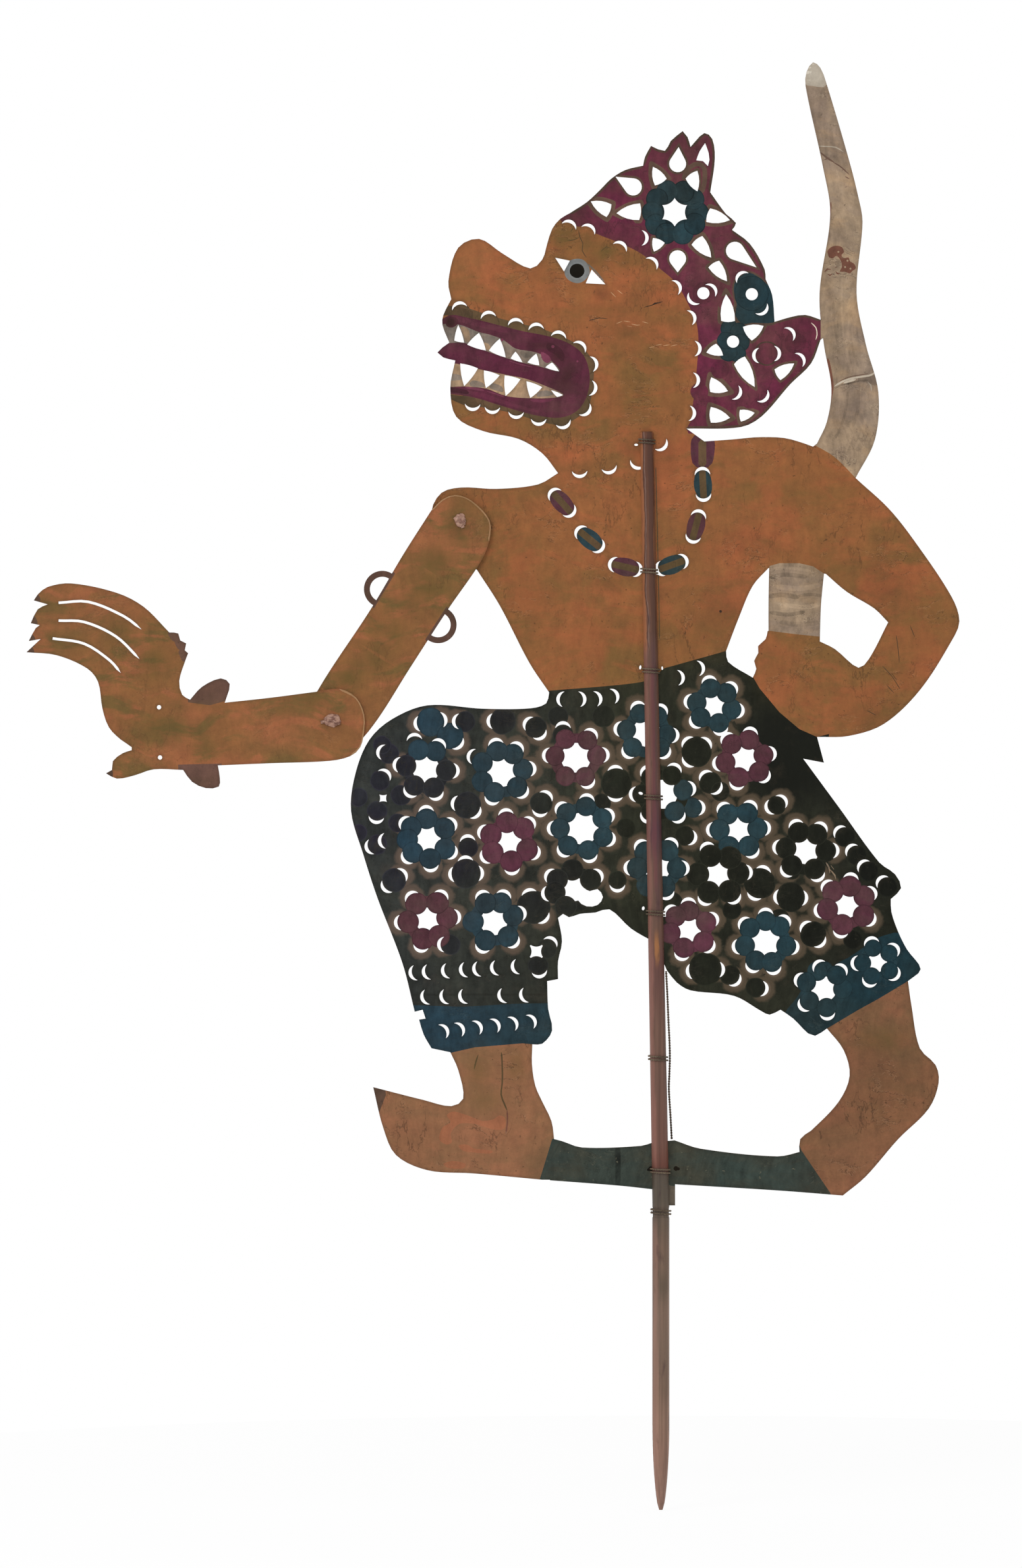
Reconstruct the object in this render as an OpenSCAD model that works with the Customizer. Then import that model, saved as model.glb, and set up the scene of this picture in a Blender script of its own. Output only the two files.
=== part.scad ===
// Shadow puppet cut from one painted hide and held in a split stick. One arm hangs from two
// knots, at the shoulder and at the elbow, and swings freely. The hide stands in the XZ plane
// with its face to -Y. The round grip of the stick runs along Z, with the origin at its middle.

/* [Hide] */
// Height of the cut figure, from the base strip to the tip of the tail
figure_h = 570; // [550:2:590]
// Thickness of the hide
hide_t = 1.2; // [0.9:0.1:1.6]
// Longest straight step along a cut edge
cut_step = 4; // [3:0.5:6]

/* [Swinging arm] */
// Length of the upper arm, from the shoulder knot to the elbow knot
upper_arm_len = 120; // [116:1:124]
// Direction of the upper arm at rest, counter-clockwise from +X
upper_arm_turn = 237.5; // [230:0.5:243]
// Air between the figure and the upper arm
arm_gap = 1; // [0.9:0.1:1.6]
// Air between the upper arm and the forearm
elbow_gap = 0.3; // [0.25:0.05:0.6]
// Outer radius of the loops on the armband
loop_r = 9.3; // [8.5:0.1:10.5]
// Width of hide in the armband loops
loop_w = 3; // [2:0.1:4]
// Width of the slits between the fingers
finger_slit_w = 1.3; // [0.8:0.1:1.6]
// Bore of the two tie holes in the hand
hand_hole_d = 2.2; // [1.8:0.1:2.8]

/* [Punched work] */
// Radius of a rosette petal, which its crescent follows
petal_r = 4.9; // [4.6:0.1:5.2]
// Radius of the ring on which the petals of a rosette sit
ring_r = 10.5; // [10.1:0.1:10.9]
// How far the points of a rosette's star reach in between the petals
star_reach = 1.8; // [1.2:0.1:2.2]
// Length of a punched crescent from horn to horn
crescent_len = 7.8; // [6.5:0.1:8.4]
// Width of a punched crescent at its middle
crescent_w = 1.7; // [1.2:0.1:1.9]
// Radius of the round holes in the headcloth
dot_r = 3.1; // [2.4:0.1:3.6]

/* [Stick] */
// Diameter of the round grip
grip_d = 8.6; // [8:0.1:9.4]
// Length of the round grip
grip_len = 105; // [98:1:106]
// Length of the point below the grip
point_len = 43; // [36:1:50]
// Depth of the notch round the stick in which the lowest tie sits
notch_depth = 0.2; // [0.1:0.05:0.3]
// Diameter of the end of the point
point_d = 1.8; // [1.6:0.1:3]
// How full the point is: 1 follows a quarter of a wave, less swells sooner from the tip
point_swell = 0.6; // [0.5:0.05:1]
// Diameter of the split stick at its upper end
top_d = 6.8; // [6:0.1:7.6]
// Bevel round the upper end of the stick, which is cut off square
top_bevel = 0.6; // [0.3:0.1:1.5]
// Lean of the split stick to the left
lean = 1.05; // [0.8:0.05:1.3]
// Air on each side of the hide in the split
split_play = 0.05; // [0.02:0.01:0.1]

/* [Thread] */
// Diameter of the tying thread
thread_d = 1; // [0.8:0.1:1.1]
// Rise of the thread in one turn of a tie
tie_pitch = 1.6; // [1.55:0.05:1.8]
// Number of turns in a tie
tie_turns = 2; // [2:1:3]
// Air between a tie and what it passes
thread_play = 0.15; // [0.1:0.05:0.3]

/* [Knots] */
// Diameter of the thong where it passes through the sheets
thong_d = 3; // [2.4:0.1:3.6]
// Radial play of the turning sheets on the thong
thong_play = 0.08; // [0.04:0.01:0.1]
// Diameter of a knot
knot_d = 6.8; // [6:0.1:8]
// Height of a knot on the face
knot_h = 2; // [1.6:0.1:2.4]
// Height of a knot pressed flat on the reverse
flat_knot_h = 0.6; // [0.4:0.05:0.65]
// Air under a knot
knot_air = 0.1; // [0.05:0.05:0.15]

/* [Hidden] */
$fn = 64;

// The outlines are drawn for a figure of this height and grow with figure_h
drawn_h = 570;
grow = figure_h / drawn_h;

// Layers of hide, each named by the Y of its reverse side
figure_back = hide_t / 2;
arm_back = -hide_t / 2 - arm_gap;
forearm_back = arm_back - hide_t - elbow_gap;
forearm_face = forearm_back - hide_t;

// Pivots of the arm, in the plane of the hide
shoulder = grow * [-101.5, 405];
elbow = shoulder + upper_arm_len * [cos(upper_arm_turn), sin(upper_arm_turn)];

// The split begins just below the tab of the base strip, where the stick also bends
tab_z = 58.5 * grow;
split_z = tab_z - thread_play;
stick_top = 450 * grow;
grip_end = -grip_len / 2;

// Heights of the ties on the stick
neck_z = 445 * grow;
chest_z = 379.5 * grow;
waist_z = 329 * grow;
hip_z = 265 * grow;
seat_z = 206.5 * grow;
shin_z = 133 * grow;
base_z = 76 * grow;
grip_tie_z = tab_z - tie_turns * tie_pitch;
hide_ties = [neck_z, chest_z, waist_z, hip_z, seat_z, base_z];
slot_h = (tie_turns - 1) * tie_pitch + thread_d + 2 * thread_play;

// Middle and radius of the stick at a height
function stick_x(z) = -tan(lean) * max(z - split_z, 0);
function stick_r(z) = let (rise = max(z - split_z, 0) / (stick_top - split_z))
    (grip_d + (top_d - grip_d) * rise) / 2;
function tie_r(z) = stick_r(z) + thread_play + thread_d / 2;

// A smooth line through points: cubic pieces whose ends lean along the neighbouring chords
function slope(p, i) = let (a = p[max(i - 1, 0)], b = p[min(i + 1, len(p) - 1)])
    (b - a) / (norm(b - p[i]) + norm(p[i] - a));
function blend(a, b, da, db, t) = (1 - t) * (1 - t) * ((1 + 2 * t) * a + t * da)
    + t * t * ((3 - 2 * t) * b - (1 - t) * db);
function steps(p, i) = len(p) > 2 ? ceil(norm(p[i + 1] - p[i]) / cut_step) : 1;
// The last point is left to the stretch that follows
function line(p) = [for (i = [0:len(p) - 2])
    let (span = norm(p[i + 1] - p[i]), n = steps(p, i))
    for (j = [0:n - 1])
        blend(p[i], p[i + 1], slope(p, i) * span, slope(p, i + 1) * span, j / n)];

// Corners counter-clockwise, so that shapes which are joined all face the same way
function signed_area(p) = [for (i = [0:len(p) - 1]) let (a = p[i], b = p[(i + 1) % len(p)])
    a[0] * b[1] - a[1] * b[0]] * [for (q = p) 0.5];
function turned(p) = signed_area(p) > 0 ? p : [for (i = [len(p) - 1:-1:0]) p[i]];

// A drop-shaped hole: a round end with straight sides that meet in a tip
function drop(at, r, tip) = let (reach = norm(tip - at), open = acos(r / reach),
        aim = atan2(tip[1] - at[1], tip[0] - at[0]), n = 14)
    concat([tip], [for (i = [0:n]) let (a = aim + open + (360 - 2 * open) * i / n)
        at + r * [cos(a), sin(a)]]);

// A hole of a few corners whose sides bow outward by a share of their length
function bowed(p, bow) = [for (i = [0:len(p) - 1])
    let (a = p[i], b = p[(i + 1) % len(p)], out = [b[1] - a[1], a[0] - b[0]], n = 4)
    for (j = [0:n - 1]) let (t = j / n) a + (b - a) * t + out * bow * 4 * t * (1 - t)];

// A band of even width along a smooth line, pointed at its last point
function band(p, w) = let (mid = concat(line(p), [p[len(p) - 1]]), last = len(mid) - 1,
        side = [for (i = [0:last - 1]) let (d = mid[i + 1] - mid[i]) [-d[1], d[0]] / norm(d)])
    concat([for (i = [0:last - 1]) mid[i] + side[i] * w / 2], [mid[last]],
        [for (i = [last - 1:-1:0]) mid[i] - side[i] * w / 2]);

// Hide of the figure, part by part; the parts run into each other and are cut as one
head_edge = concat(
    line([[-46, 560.5], [-51, 557.5], [-55, 552.5], [-57.5, 545], [-60, 537], [-66, 532.5], [-80, 540],
        [-92, 547.5], [-102.5, 543], [-107.5, 526], [-106, 517]]),
    line([[-106, 517], [-110, 509], [-110.5, 504], [-107, 495]]),
    line([[-107, 495], [-113, 490], [-110, 487.5], [-104, 486]]),
    line([[-104, 486], [-106.5, 472], [-103.5, 457.5], [-90, 450.3], [-72, 446.3], [-60, 439], [-52, 429]]),
    [[-52, 429], [-30, 425], [5, 446], [8, 449], [10, 500], [0, 530], [-20, 546]]);
headcloth_edge = concat(
    line([[-52, 556], [-46, 560.5], [-37.5, 566], [-31, 572], [-25, 578], [-18, 582.3], [-9, 584.5]]),
    line([[-9, 584.5], [-8, 589], [-5, 594.5]]),
    line([[-5, 594.5], [2, 592], [5, 597], [11, 602]]),
    line([[11, 602], [13.5, 599], [15, 594]]),
    line([[15, 594], [22, 601], [26, 598], [27.3, 588], [25, 571]]),
    line([[25, 571], [33, 560], [38, 555.5], [36, 552]]),
    line([[36, 552], [45, 545], [52.5, 532], [53, 527]]),
    line([[53, 527], [56.3, 519], [57.5, 505.5]]),
    line([[57.5, 505.5], [66, 508], [73, 509], [81, 506.5]]),
    [[81, 506.5], [90, 502]],
    line([[80.8, 496.5], [76, 484.5], [65.5, 474], [51, 457.7], [40.5, 452.3], [13, 451.5]]),
    [[13, 451.5], [0, 455], [0, 520], [-20, 541]]);
torso_edge = concat(
    line([[-52, 429], [-62, 423.3], [-83, 421], [-101, 421.7], [-111, 419], [-116, 409.5],
        [-112, 396], [-93, 380]]),
    line([[-93, 380], [-81.5, 362], [-66.5, 333], [-56.5, 318]]),
    [[-56.5, 318], [-8, 300], [30, 318]],
    line([[33, 339], [39.5, 356], [46.5, 372], [55, 381.5]]),
    [[55, 381.5], [90, 400], [60, 440]],
    line([[50, 447], [36, 446], [22, 445]]),
    line([[22, 445], [13, 451.5]]),
    [[13, 451.5], [0, 475], [-40, 455]]);
akimbo_edge = concat(
    line([[36, 446], [51, 447.2], [66, 446], [88, 437], [98.5, 426.5], [115, 411.3], [128, 395],
        [147, 366.5], [151, 354], [147, 344], [130.7, 318.8], [112.7, 302], [95, 296], [79, 295.5]]),
    line([[79, 295.5], [62, 306], [46.5, 325.5]]),
    line([[46.5, 325.5], [48.3, 330], [47.2, 334], [49.3, 338], [49.2, 341.5], [53, 345], [54, 349]]),
    [[54, 349], [60, 352], [76, 352]],
    line([[80, 344], [88, 340], [100, 330.5], [105.3, 335], [115, 353.5]]),
    line([[115, 353.5], [108, 360.5], [94, 369], [83.5, 378]]),
    [[83.5, 378], [70, 380], [56, 380], [30, 400]]);
tail_edge = concat(
    line([[79, 444], [84, 455], [86.3, 472], [82.5, 494], [80.3, 520], [85.7, 560], [82, 584], [73.2, 625],
        [73.7, 632], [77, 636.8], [80.7, 634], [83.5, 627], [95, 588], [99.8, 569], [102, 556], [99, 520],
        [103.7, 494], [110, 470], [108.3, 446], [98.5, 426.5]]),
    [[98.5, 426.5], [84, 424], [74, 440]]);
// The same tail shows again between the raised arm and the hand
tail_root_edge = concat(line([[54.5, 340], [54.5, 366], [55, 390]]), [[55, 390], [82.5, 390]],
    line([[82.5, 378], [81, 362], [80.3, 340]]), [[80.3, 340]]);
trousers_edge = concat(
    line([[-56.5, 318], [-58, 312.5], [-66, 310], [-90, 309.8], [-118, 311.5], [-136, 304.5], [-147.5, 294],
        [-154.5, 277], [-156.7, 258], [-150.5, 236], [-143.5, 214.5], [-130.7, 181], [-124.5, 156.5]]),
    [[-124.5, 156.5], [-120.5, 157.5], [-119, 153]],
    line([[-122.3, 152.5], [-120, 145], [-116, 138]]),
    line([[-116, 138], [-106.5, 136]]),
    [[-106.5, 136], [-95, 134], [-75, 134]],
    line([[-65, 140], [-60, 140.3], [-55, 147], [-57, 158], [-57.5, 172]]),
    line([[-57.5, 172], [-52, 173]]),
    line([[-52, 173], [-52, 182], [-50, 192], [-52, 204]]),
    line([[-52, 204], [-49.5, 206]]),
    line([[-49.5, 206], [-46.5, 204.3], [-41, 206], [-33, 206.7], [-26, 208.3], [-15, 198.5], [-3, 191.5]]),
    line([[-3, 191.5], [3, 177.5]]),
    line([[3, 177.5], [8, 171.3], [15, 167.3], [37, 164.5], [51, 156.7], [55, 155], [60.5, 157.5]]),
    line([[60.5, 157.5], [67, 153], [74.5, 145.5], [78, 144.3], [84, 148]]),
    [[84, 148], [100, 155], [118, 166]],
    line([[125, 172], [131.4, 178], [124.5, 188], [120, 197], [116.6, 207], [116.3, 213.5]]),
    line([[116.3, 213.5], [121.5, 219], [118.5, 226], [110.5, 232], [90, 260], [72, 284.5]]),
    line([[72, 284.5], [82.5, 282.5]]),
    line([[82.5, 282.5], [79, 295.5]]),
    [[79, 295.5], [70, 310], [46.5, 325.5]],
    line([[46.5, 325.5], [34, 333.5], [33, 339]]),
    [[33, 339], [6, 331.5], [-8.5, 323]]);
left_leg_edge = concat(
    line([[-106.5, 136], [-102.5, 127], [-100, 112.5], [-106, 108.7], [-120, 111.8], [-145.5, 118.3]]),
    line([[-145.5, 118.3], [-140.5, 98], [-134, 84], [-118, 76.3], [-95, 74.7], [-60, 71.5]]),
    [[-60, 71.5], [-54, 71.5]],
    line([[-54, 92], [-55.3, 101], [-60, 111], [-63.5, 119], [-65.2, 130], [-65, 140]]),
    [[-65, 140], [-80, 146]]);
right_leg_edge = concat(
    line([[70.5, 80], [70.5, 92], [76, 96.3], [90, 111], [95.5, 124], [92.5, 137], [84, 148]]),
    [[84, 148], [104, 166]],
    line([[125, 172], [126.7, 160], [131, 138], [139, 129.5], [140.5, 120.5], [135.5, 107.5], [120, 92],
        [103.5, 73], [92, 63.5]]),
    [[92, 63.5], [72, 66]]);
base_strip_edge = concat(
    line([[-58, 93], [-50, 91], [-40, 87.8], [-10, 88.6], [-3.6, 90.5]]),
    [[-3.6, 90.5], [7, 91.4]],
    line([[7, 91.4], [20, 87.2], [59, 83.3], [72, 86]]),
    [[72, 86], [92, 80], [92, 63.5]],
    line([[92, 63.5], [60, 66], [7.2, 69.2]]),
    [[7.2, 69.2], [7.2, 58.5], [-3.6, 58.5]],
    line([[-3.6, 66.6], [-21, 68.5], [-60, 71.5]]));

// Rosettes: middle, how much wider the ring and the petals are than the common ones, then the
// turns of the petals with a crescent and of those without
rosettes = [
    [[-118.8, 279.3], -0.3, 0.3, [-4, 62, 171, 235, 292], [111]],
    [[-80.5, 277.7], 0.3, 0.3, [7, 58, 102, 250, 316], [154, 206]],
    [[-43, 285], 0.1, 0, [6, 57, 175, 296], [119, 240]],
    [[-7.3, 297.7], -0.3, 0, [-6, 57, 109, 172, 227, 312], []],
    [[-118, 244], -0.4, 0.4, [-30, 32, 93, 145, 223, 277], [182]],
    [[-76.7, 242.5], -0.6, 0.6, [-24, 43, 97, 159, 213, 276], []],
    [[-39.7, 249.2], 0.8, 0.1, [-22, 27, 81, 136, 180, 230, 285], []],
    [[-118, 203], -0.6, 0.6, [6, 60, 125, 186, 256], [305]],
    [[-84.5, 202], -0.2, 0.4, [18, 69, 114, 246, 314], [180]],
    [[-1.7, 229.3], -0.4, 0.5, [60, 127, 180, 290], [0, 240]],
    [[-44, 218.5], -0.8, 0.5, [30, 150, 190], [95, 245]],
    [[27, 311.3], -1.5, 0.1, [-12, 46, 102, 170, 221, 285], []],
    [[42.3, 284.5], -0.7, 0.2, [11, 77, 131, 191, 253, 318], []],
    [[39.3, 248.5], -0.9, 0.3, [4, 63, 125, 180, 302], [240]],
    [[73.3, 237.8], -0.4, 0.4, [1, 57, 111, 172, 226, 296], []],
    [[29, 226], -0.3, 0.8, [4, 113, 242, 304], [55, 180]],
    [[94, 210.2], -0.6, 0.5, [27, 81, 135, 191, 257, 329], []],
    [[1, 266.5], 0, 0.1, [12, 65, 125, 180, 235, 305], []],
    [[14.2, 198], -1, 0.3, [24, 91, 135, 254, 320], [190]],
    [[53, 191.8], 0.1, 0.2, [48, 90, 139, 190, 242, 287, 349], []],
    [[82.5, 168], -1, 0, [48, 159, 219, 278], [0, 110]],
    [[109.5, 181.5], -3, -0.5, [38, 107, 183, 247, 325], []]];
// Painted discs with crescents on their rims: middle, radius, turns of the crescents
discs = [
    [[-116.5, 303], 7, [12, 188]], [[-99, 303.3], 5, [178]], [[-80, 303.5], 6.5, [180]],
    [[-63.3, 300.3], 5.3, [150, 302]], [[-106.5, 296], 6.5, [-45]], [[-49.5, 296.8], 5, [90]],
    [[-137.5, 287], 4.9, [165]], [[-142, 273.5], 4.9, [50]], [[-143.5, 258], 4.9, [262]],
    [[-143.5, 241], 4.9, [200]], [[-98, 261], 6.7, [170, 318]], [[-97.5, 239.7], 4.9, [95]],
    [[-98.5, 226.5], 7.4, [0, 93, 185]], [[-60.5, 262], 5.5, [54, 260]], [[-135, 223], 6, [35, 222]],
    [[-64.5, 209.3], 8.3, [107, 314]], [[-57.5, 188.5], 4.9, [60]], [[-62, 180], 5, [280]],
    [[-106.5, 190.5], 5, [180]], [[-22.5, 272], 7.7, [95, 265]], [[-22, 223], 4.5, [270]],
    [[18, 288], 7.5, [42, 133, 230]], [[25, 272.3], 5.4, [125, 318]], [[12, 245.5], 4.9, [-18]],
    [[8, 228.7], 4.9, [8]], [[50, 221.5], 7.7, [73, 246]], [[65.7, 214.5], 7.2, [-5, 180]],
    [[58.5, 261], 4.6, [38, 200]], [[93, 245], 4.9, [135]], [[99, 235.7], 4.9, [135]],
    [[105, 227.7], 4.9, [135]], [[114.5, 219.7], 4.9, [135]], [[77, 195.7], 6.3, [135, 312]],
    [[82.3, 177], 4.9, [132]], [[22.5, 178], 8.3, [-2, 189]], [[35, 175], 4.9, [-45]],
    [[48, 168.7], 4.9, [-10]], [[16, 259.7], 4.9, [0]]];
// Crescents that stand by themselves: middle and the turn of the round side
lone_crescents = [[[-125, 296.7], 97], [[-97.3, 286.3], 165], [[-142.3, 242.7], 185]];
waist_row = [[[-52, 315], 172], [[-38.5, 315], 8], [[-30.5, 315.5], 15], [[-22, 317], 20],
    [[11.3, 325.7], 5], [[21.5, 330.7], 10]];
mouth_row = [[[-102.5, 515], 105], [[-87.7, 510.3], 100], [[-73.7, 506.7], 95], [[-63.3, 504.3], 95],
    [[-51.3, 500.3], 80], [[-39.7, 494.5], 52], [[-32.5, 484.7], 12], [[-33, 471.5], -12],
    [[-36.8, 459.5], -45], [[-48.5, 452.2], -70], [[-61.8, 453.7], -90], [[-73.3, 457.2], -92],
    [[-85.3, 459.7], -92], [[-95.3, 461.2], -92]];
neck_row = [[[-41, 427.3], 272], [[-25.5, 429.3], 285], [[-12.7, 431.7], 250], [[1.7, 441.7], 312]];
hair_row = [[[-45.5, 556.2], 67], [[-35.5, 554], 60], [[-19.5, 545.3], 60], [[-3, 536.7], 45],
    [[9.5, 524], 25], [[17, 508.5], 20], [[19.8, 492], 0], [[19, 476], 0], [[17, 459], -5]];
cloth_row = [[[-7, 548], 0], [[27, 523], 40], [[15, 515.7], 225], [[39.7, 529.7], 130],
    [[52.5, 510.3], 310], [[66.8, 500.7], 35], [[72, 487.5], 30], [[47, 488.5], 180],
    [[60, 489.5], 0], [[40, 468.7], -25], [[53.3, 466.5], -42]];
// Three rows on the left trouser leg: the X of each crescent, the Z of the first, the climb to the
// right and the turn
hem_rows = [[[-126.7, -120, -110.3, -101.2, -94.5, -85.5, -75], 175.5, 0.06, 195],
    [[-120.7, -111, -101.5, -81.7, -70.7], 163, 0.02, 200],
    [[-108.3, -100.3, -91.3, -82.3, -73.3, -64], 147.8, 0.11, 30]];
// Necklace ornaments: middle and the turn of the long axis, with a crescent at each end
necklace = [[[-50, 414], 132], [[-36, 395.5], 141], [[-18, 381.5], 167], [[5.5, 382.5], 20],
    [[17.7, 402], 75], [[21.3, 423.3], 93]];
necklace_half = 7.2;
necklace_r = 4.3;
// Holes of the headcloth
crown_rosette = [7, 561];
crown_petals = [0, 60, 120, 180, 240, 300];
crown_petal_r = 6.6;
crown_ring_r = 11.8;
crown_star_r = 7.2;
crown_drops = [drop([8.5, 585.5], 4.3, [9, 594]), drop([-14, 573.8], 4.4, [-23, 579]),
    drop([8.5, 537.5], 4.3, [8.5, 530.5]), drop([37.5, 541.5], 4.6, [48.5, 533])];
// The hole in the last point of the crown, hollow below where it follows the leaf under it
crown_tip = concat(line([[22.4, 596], [24.2, 591], [24.6, 587.5], [23.8, 584.3]]),
    line([[23.8, 584.3], [21.3, 586.8], [17.9, 587.2]]), line([[17.9, 587.2], [19.6, 591.8], [22.4, 596]]));
crown_leaves = [[[-22.5, 560.5], [-10.5, 565.5], [-11, 557]], [[-4, 584], [3, 578], [-3, 574.5]],
    [[12.5, 578], [18.5, 582], [18.5, 571.5]], [[23, 556], [25, 563], [35, 557]],
    [[15.5, 544.5], [21, 549], [25.5, 538]], [[-3.5, 541], [-4, 548], [2, 545.5]]];
cloth_leaves = [[[-35.5, 566.5], [-25, 565], [-27.5, 558.5]], [[24, 533], [29.5, 536.5], [33.5, 526]],
    [[41.5, 503], [52, 503.5], [46, 496]], [[25.5, 477.5], [34, 470.5], [25, 470]],
    [[57.5, 481.5], [67.5, 484.5], [60.5, 476]], [[33, 519.5], [37.5, 506], [30.5, 506]],
    [[23, 490], [28, 494.5], [31.5, 488.5]], [[47.5, 472.5], [37, 484], [42.5, 488]],
    [[25.3, 462.5], [35, 457], [25.3, 454.5]], [[40, 461], [47.5, 459.5], [40.5, 455]]];
cloth_dots = [[21.5, 520], [46, 519.5], [36.5, 495.5]];
leaf_bow = 0.09;
// Gaps between the teeth, and the two corners of the eye
tooth_gaps = [[[-104.5, 496], [-102.5, 504], [-99.5, 495]], [[-98, 494], [-92, 500], [-88.5, 491]],
    [[-87, 491], [-81.5, 497], [-78.5, 487.5]], [[-76, 487], [-73.5, 490.5], [-70, 485]],
    [[-67.5, 485], [-63, 489.5], [-61.5, 483.5]], [[-58.5, 482.5], [-55, 485], [-51.5, 480.5]],
    [[-101.5, 484.5], [-92.5, 482], [-99.5, 473]], [[-89.5, 481], [-81.5, 478.5], [-88.5, 472]],
    [[-79, 478.5], [-71, 476.5], [-78.5, 468]], [[-68, 475.5], [-60, 472.5], [-66, 467]],
    [[-55.5, 471], [-49.5, 468.5], [-52.5, 467.5]]];
tooth_bow = 0.04;
eye_corners = [[[-53.5, 538], [-46, 536.5], [-49, 531]], [[-35, 532], [-28, 524.5], [-38, 525]]];
// Two small stars by the edges of the left leg, each with the ring of its petals and the reach of its
// points, and a hole worn through the hide
small_stars = [[[-63, 187], 7.3, 4.3], [[-140.5, 264.5], 6.4, 2.7]];
small_star_petals = [0, 90, 180, 270];
worn_hole = line([[-41, 220], [-36, 217.5], [-32, 218.5], [-29.3, 214.5], [-32, 210.5], [-37.5, 209.8],
    [-42, 213], [-41, 220]]);

// Upper arm, drawn along +X from the shoulder; the elbow end moves with its length
arm_end = upper_arm_len;
upper_arm_edge = line([[3.5, -15], [-4, -13.3], [-9.5, -9], [-11.5, -0.5], [-8, 12.5], [1, 18], [12, 20],
    [41, 19], [arm_end - 44, 18.7], [arm_end - 9, 18.6], [arm_end + 6, 15], [arm_end + 14, 2],
    [arm_end + 8, -11], [arm_end - 8, -14.5], [62, -14], [30, -15], [3.5, -15]]);
loop_at = 50.5;
loop_edges = [-14.5, 19];

// Forearm and hand, drawn from the elbow
forearm_edge = concat(
    line([[-54.5, 9], [-31.5, 11.5], [-8.5, 14.5], [3.5, 16], [12, 11.5], [16, 3], [16, -5], [14, -13.5],
        [9, -18], [-1.5, -20.4], [-31.5, -21.6], [-58, -22.7]]),
    line([[-58, -22.7], [-57, -29], [-57.5, -33.4], [-64, -34.2], [-71, -31], [-75.5, -25]]),
    line([[-75.5, -25], [-90.5, -24.7], [-100, -27.7], [-109, -29.4], [-114.5, -26.7]]),
    line([[-114.5, -26.7], [-111.5, -25], [-111, -20.5], [-106, -16.5], [-101.5, -15]]),
    line([[-101.5, -15], [-101.5, -13.5], [-107, -9.7], [-113, -3.5], [-116.3, 6], [-118.5, 19.5],
        [-124, 26.3], [-139.5, 33], [-154.7, 34.5]]),
    line([[-154.7, 34.5], [-147.5, 41.2]]),
    line([[-147.5, 41.2], [-153.5, 40.2]]),
    line([[-153.5, 40.2], [-150, 46.7], [-148, 48.2]]),
    line([[-148, 48.2], [-152.5, 49.2]]),
    line([[-152.5, 49.2], [-149, 56.2], [-144, 58.7]]),
    line([[-144, 58.7], [-151, 60.7]]),
    line([[-151, 60.7], [-149, 63.7], [-144, 67.5], [-132, 69.3], [-109, 64.5], [-95.5, 57.5],
        [-82.5, 44.5]]),
    line([[-82.5, 44.5], [-78, 44], [-77, 40.5]]),
    line([[-77, 40.5], [-74, 39], [-74.7, 35.5]]),
    line([[-74.7, 35.5], [-73, 34], [-74, 31.5], [-77.5, 20], [-76, 13], [-72, 10.5]]),
    line([[-72, 10.5], [-66, 17], [-56.5, 21.3], [-52, 18.5], [-54.5, 9]]));
finger_slits = [[[-138.5, 59.5], [-123.5, 60], [-105.5, 52.7], [-96.5, 46]],
    [[-138.5, 50.5], [-125.5, 49.8], [-109.5, 42.5], [-97.5, 31]],
    [[-141.5, 41.5], [-125.5, 38.8], [-112.5, 30.3], [-107, 24]]];
hand_holes = [[-87.7, 6.7], [-87.2, -18.7]];

// A sheet of hide in the XZ plane whose reverse is at the given Y
module sheet(back) translate([0, back, 0]) rotate([90, 0, 0])
    linear_extrude(height = hide_t) children();
// A shape of the figure, as drawn
module shape(points) polygon(turned(points));
// A crescent on the rim of a disc that lies at the middle, with its round side along +X
module rim_crescent(r) {
    inner = sqrt(r * r - crescent_len * crescent_len / 4);
    outer = r + crescent_w;
    shift = (outer * outer - r * r) / (2 * (outer - inner));
    difference() {
        translate([shift, 0]) circle(outer - shift);
        circle(r);
    }
}
// A crescent whose widest place is at the given point
module crescent(at, turn) translate(at) rotate(turn)
    translate([-petal_r - crescent_w / 2, 0]) rim_crescent(petal_r);
module star(turns, ring, petal, r) difference() {
    circle(r);
    for (turn = turns) rotate(turn) translate([ring, 0]) circle(petal);
}
module rosette(spec) translate(spec[0]) {
    ring = ring_r + spec[1];
    petal = petal_r + spec[2];
    star(concat(spec[3], spec[4]), ring, petal, ring - petal + star_reach);
    for (turn = spec[3]) rotate(turn) translate([ring, 0]) rim_crescent(petal);
}
module disc(spec) translate(spec[0])
    for (turn = spec[2]) rotate(turn) rim_crescent(spec[1]);
module ornament(spec) translate(spec[0])
    for (turn = [0, 180]) rotate(spec[1] + turn)
        translate([necklace_half - necklace_r, 0]) rim_crescent(necklace_r);
module hem_row(spec) for (x = spec[0])
    crescent([x, spec[1] + spec[2] * (x - spec[0][0])], spec[3]);
// The two slots beside the stick through which a tie passes; its turns pass higher on the left
module tie_slots(z) for (side = [-1, 1])
    translate([stick_x(z) + side * tie_r(z), z - side * tie_pitch / 4])
        square([thread_d + 2 * thread_play, slot_h], center = true);

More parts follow.
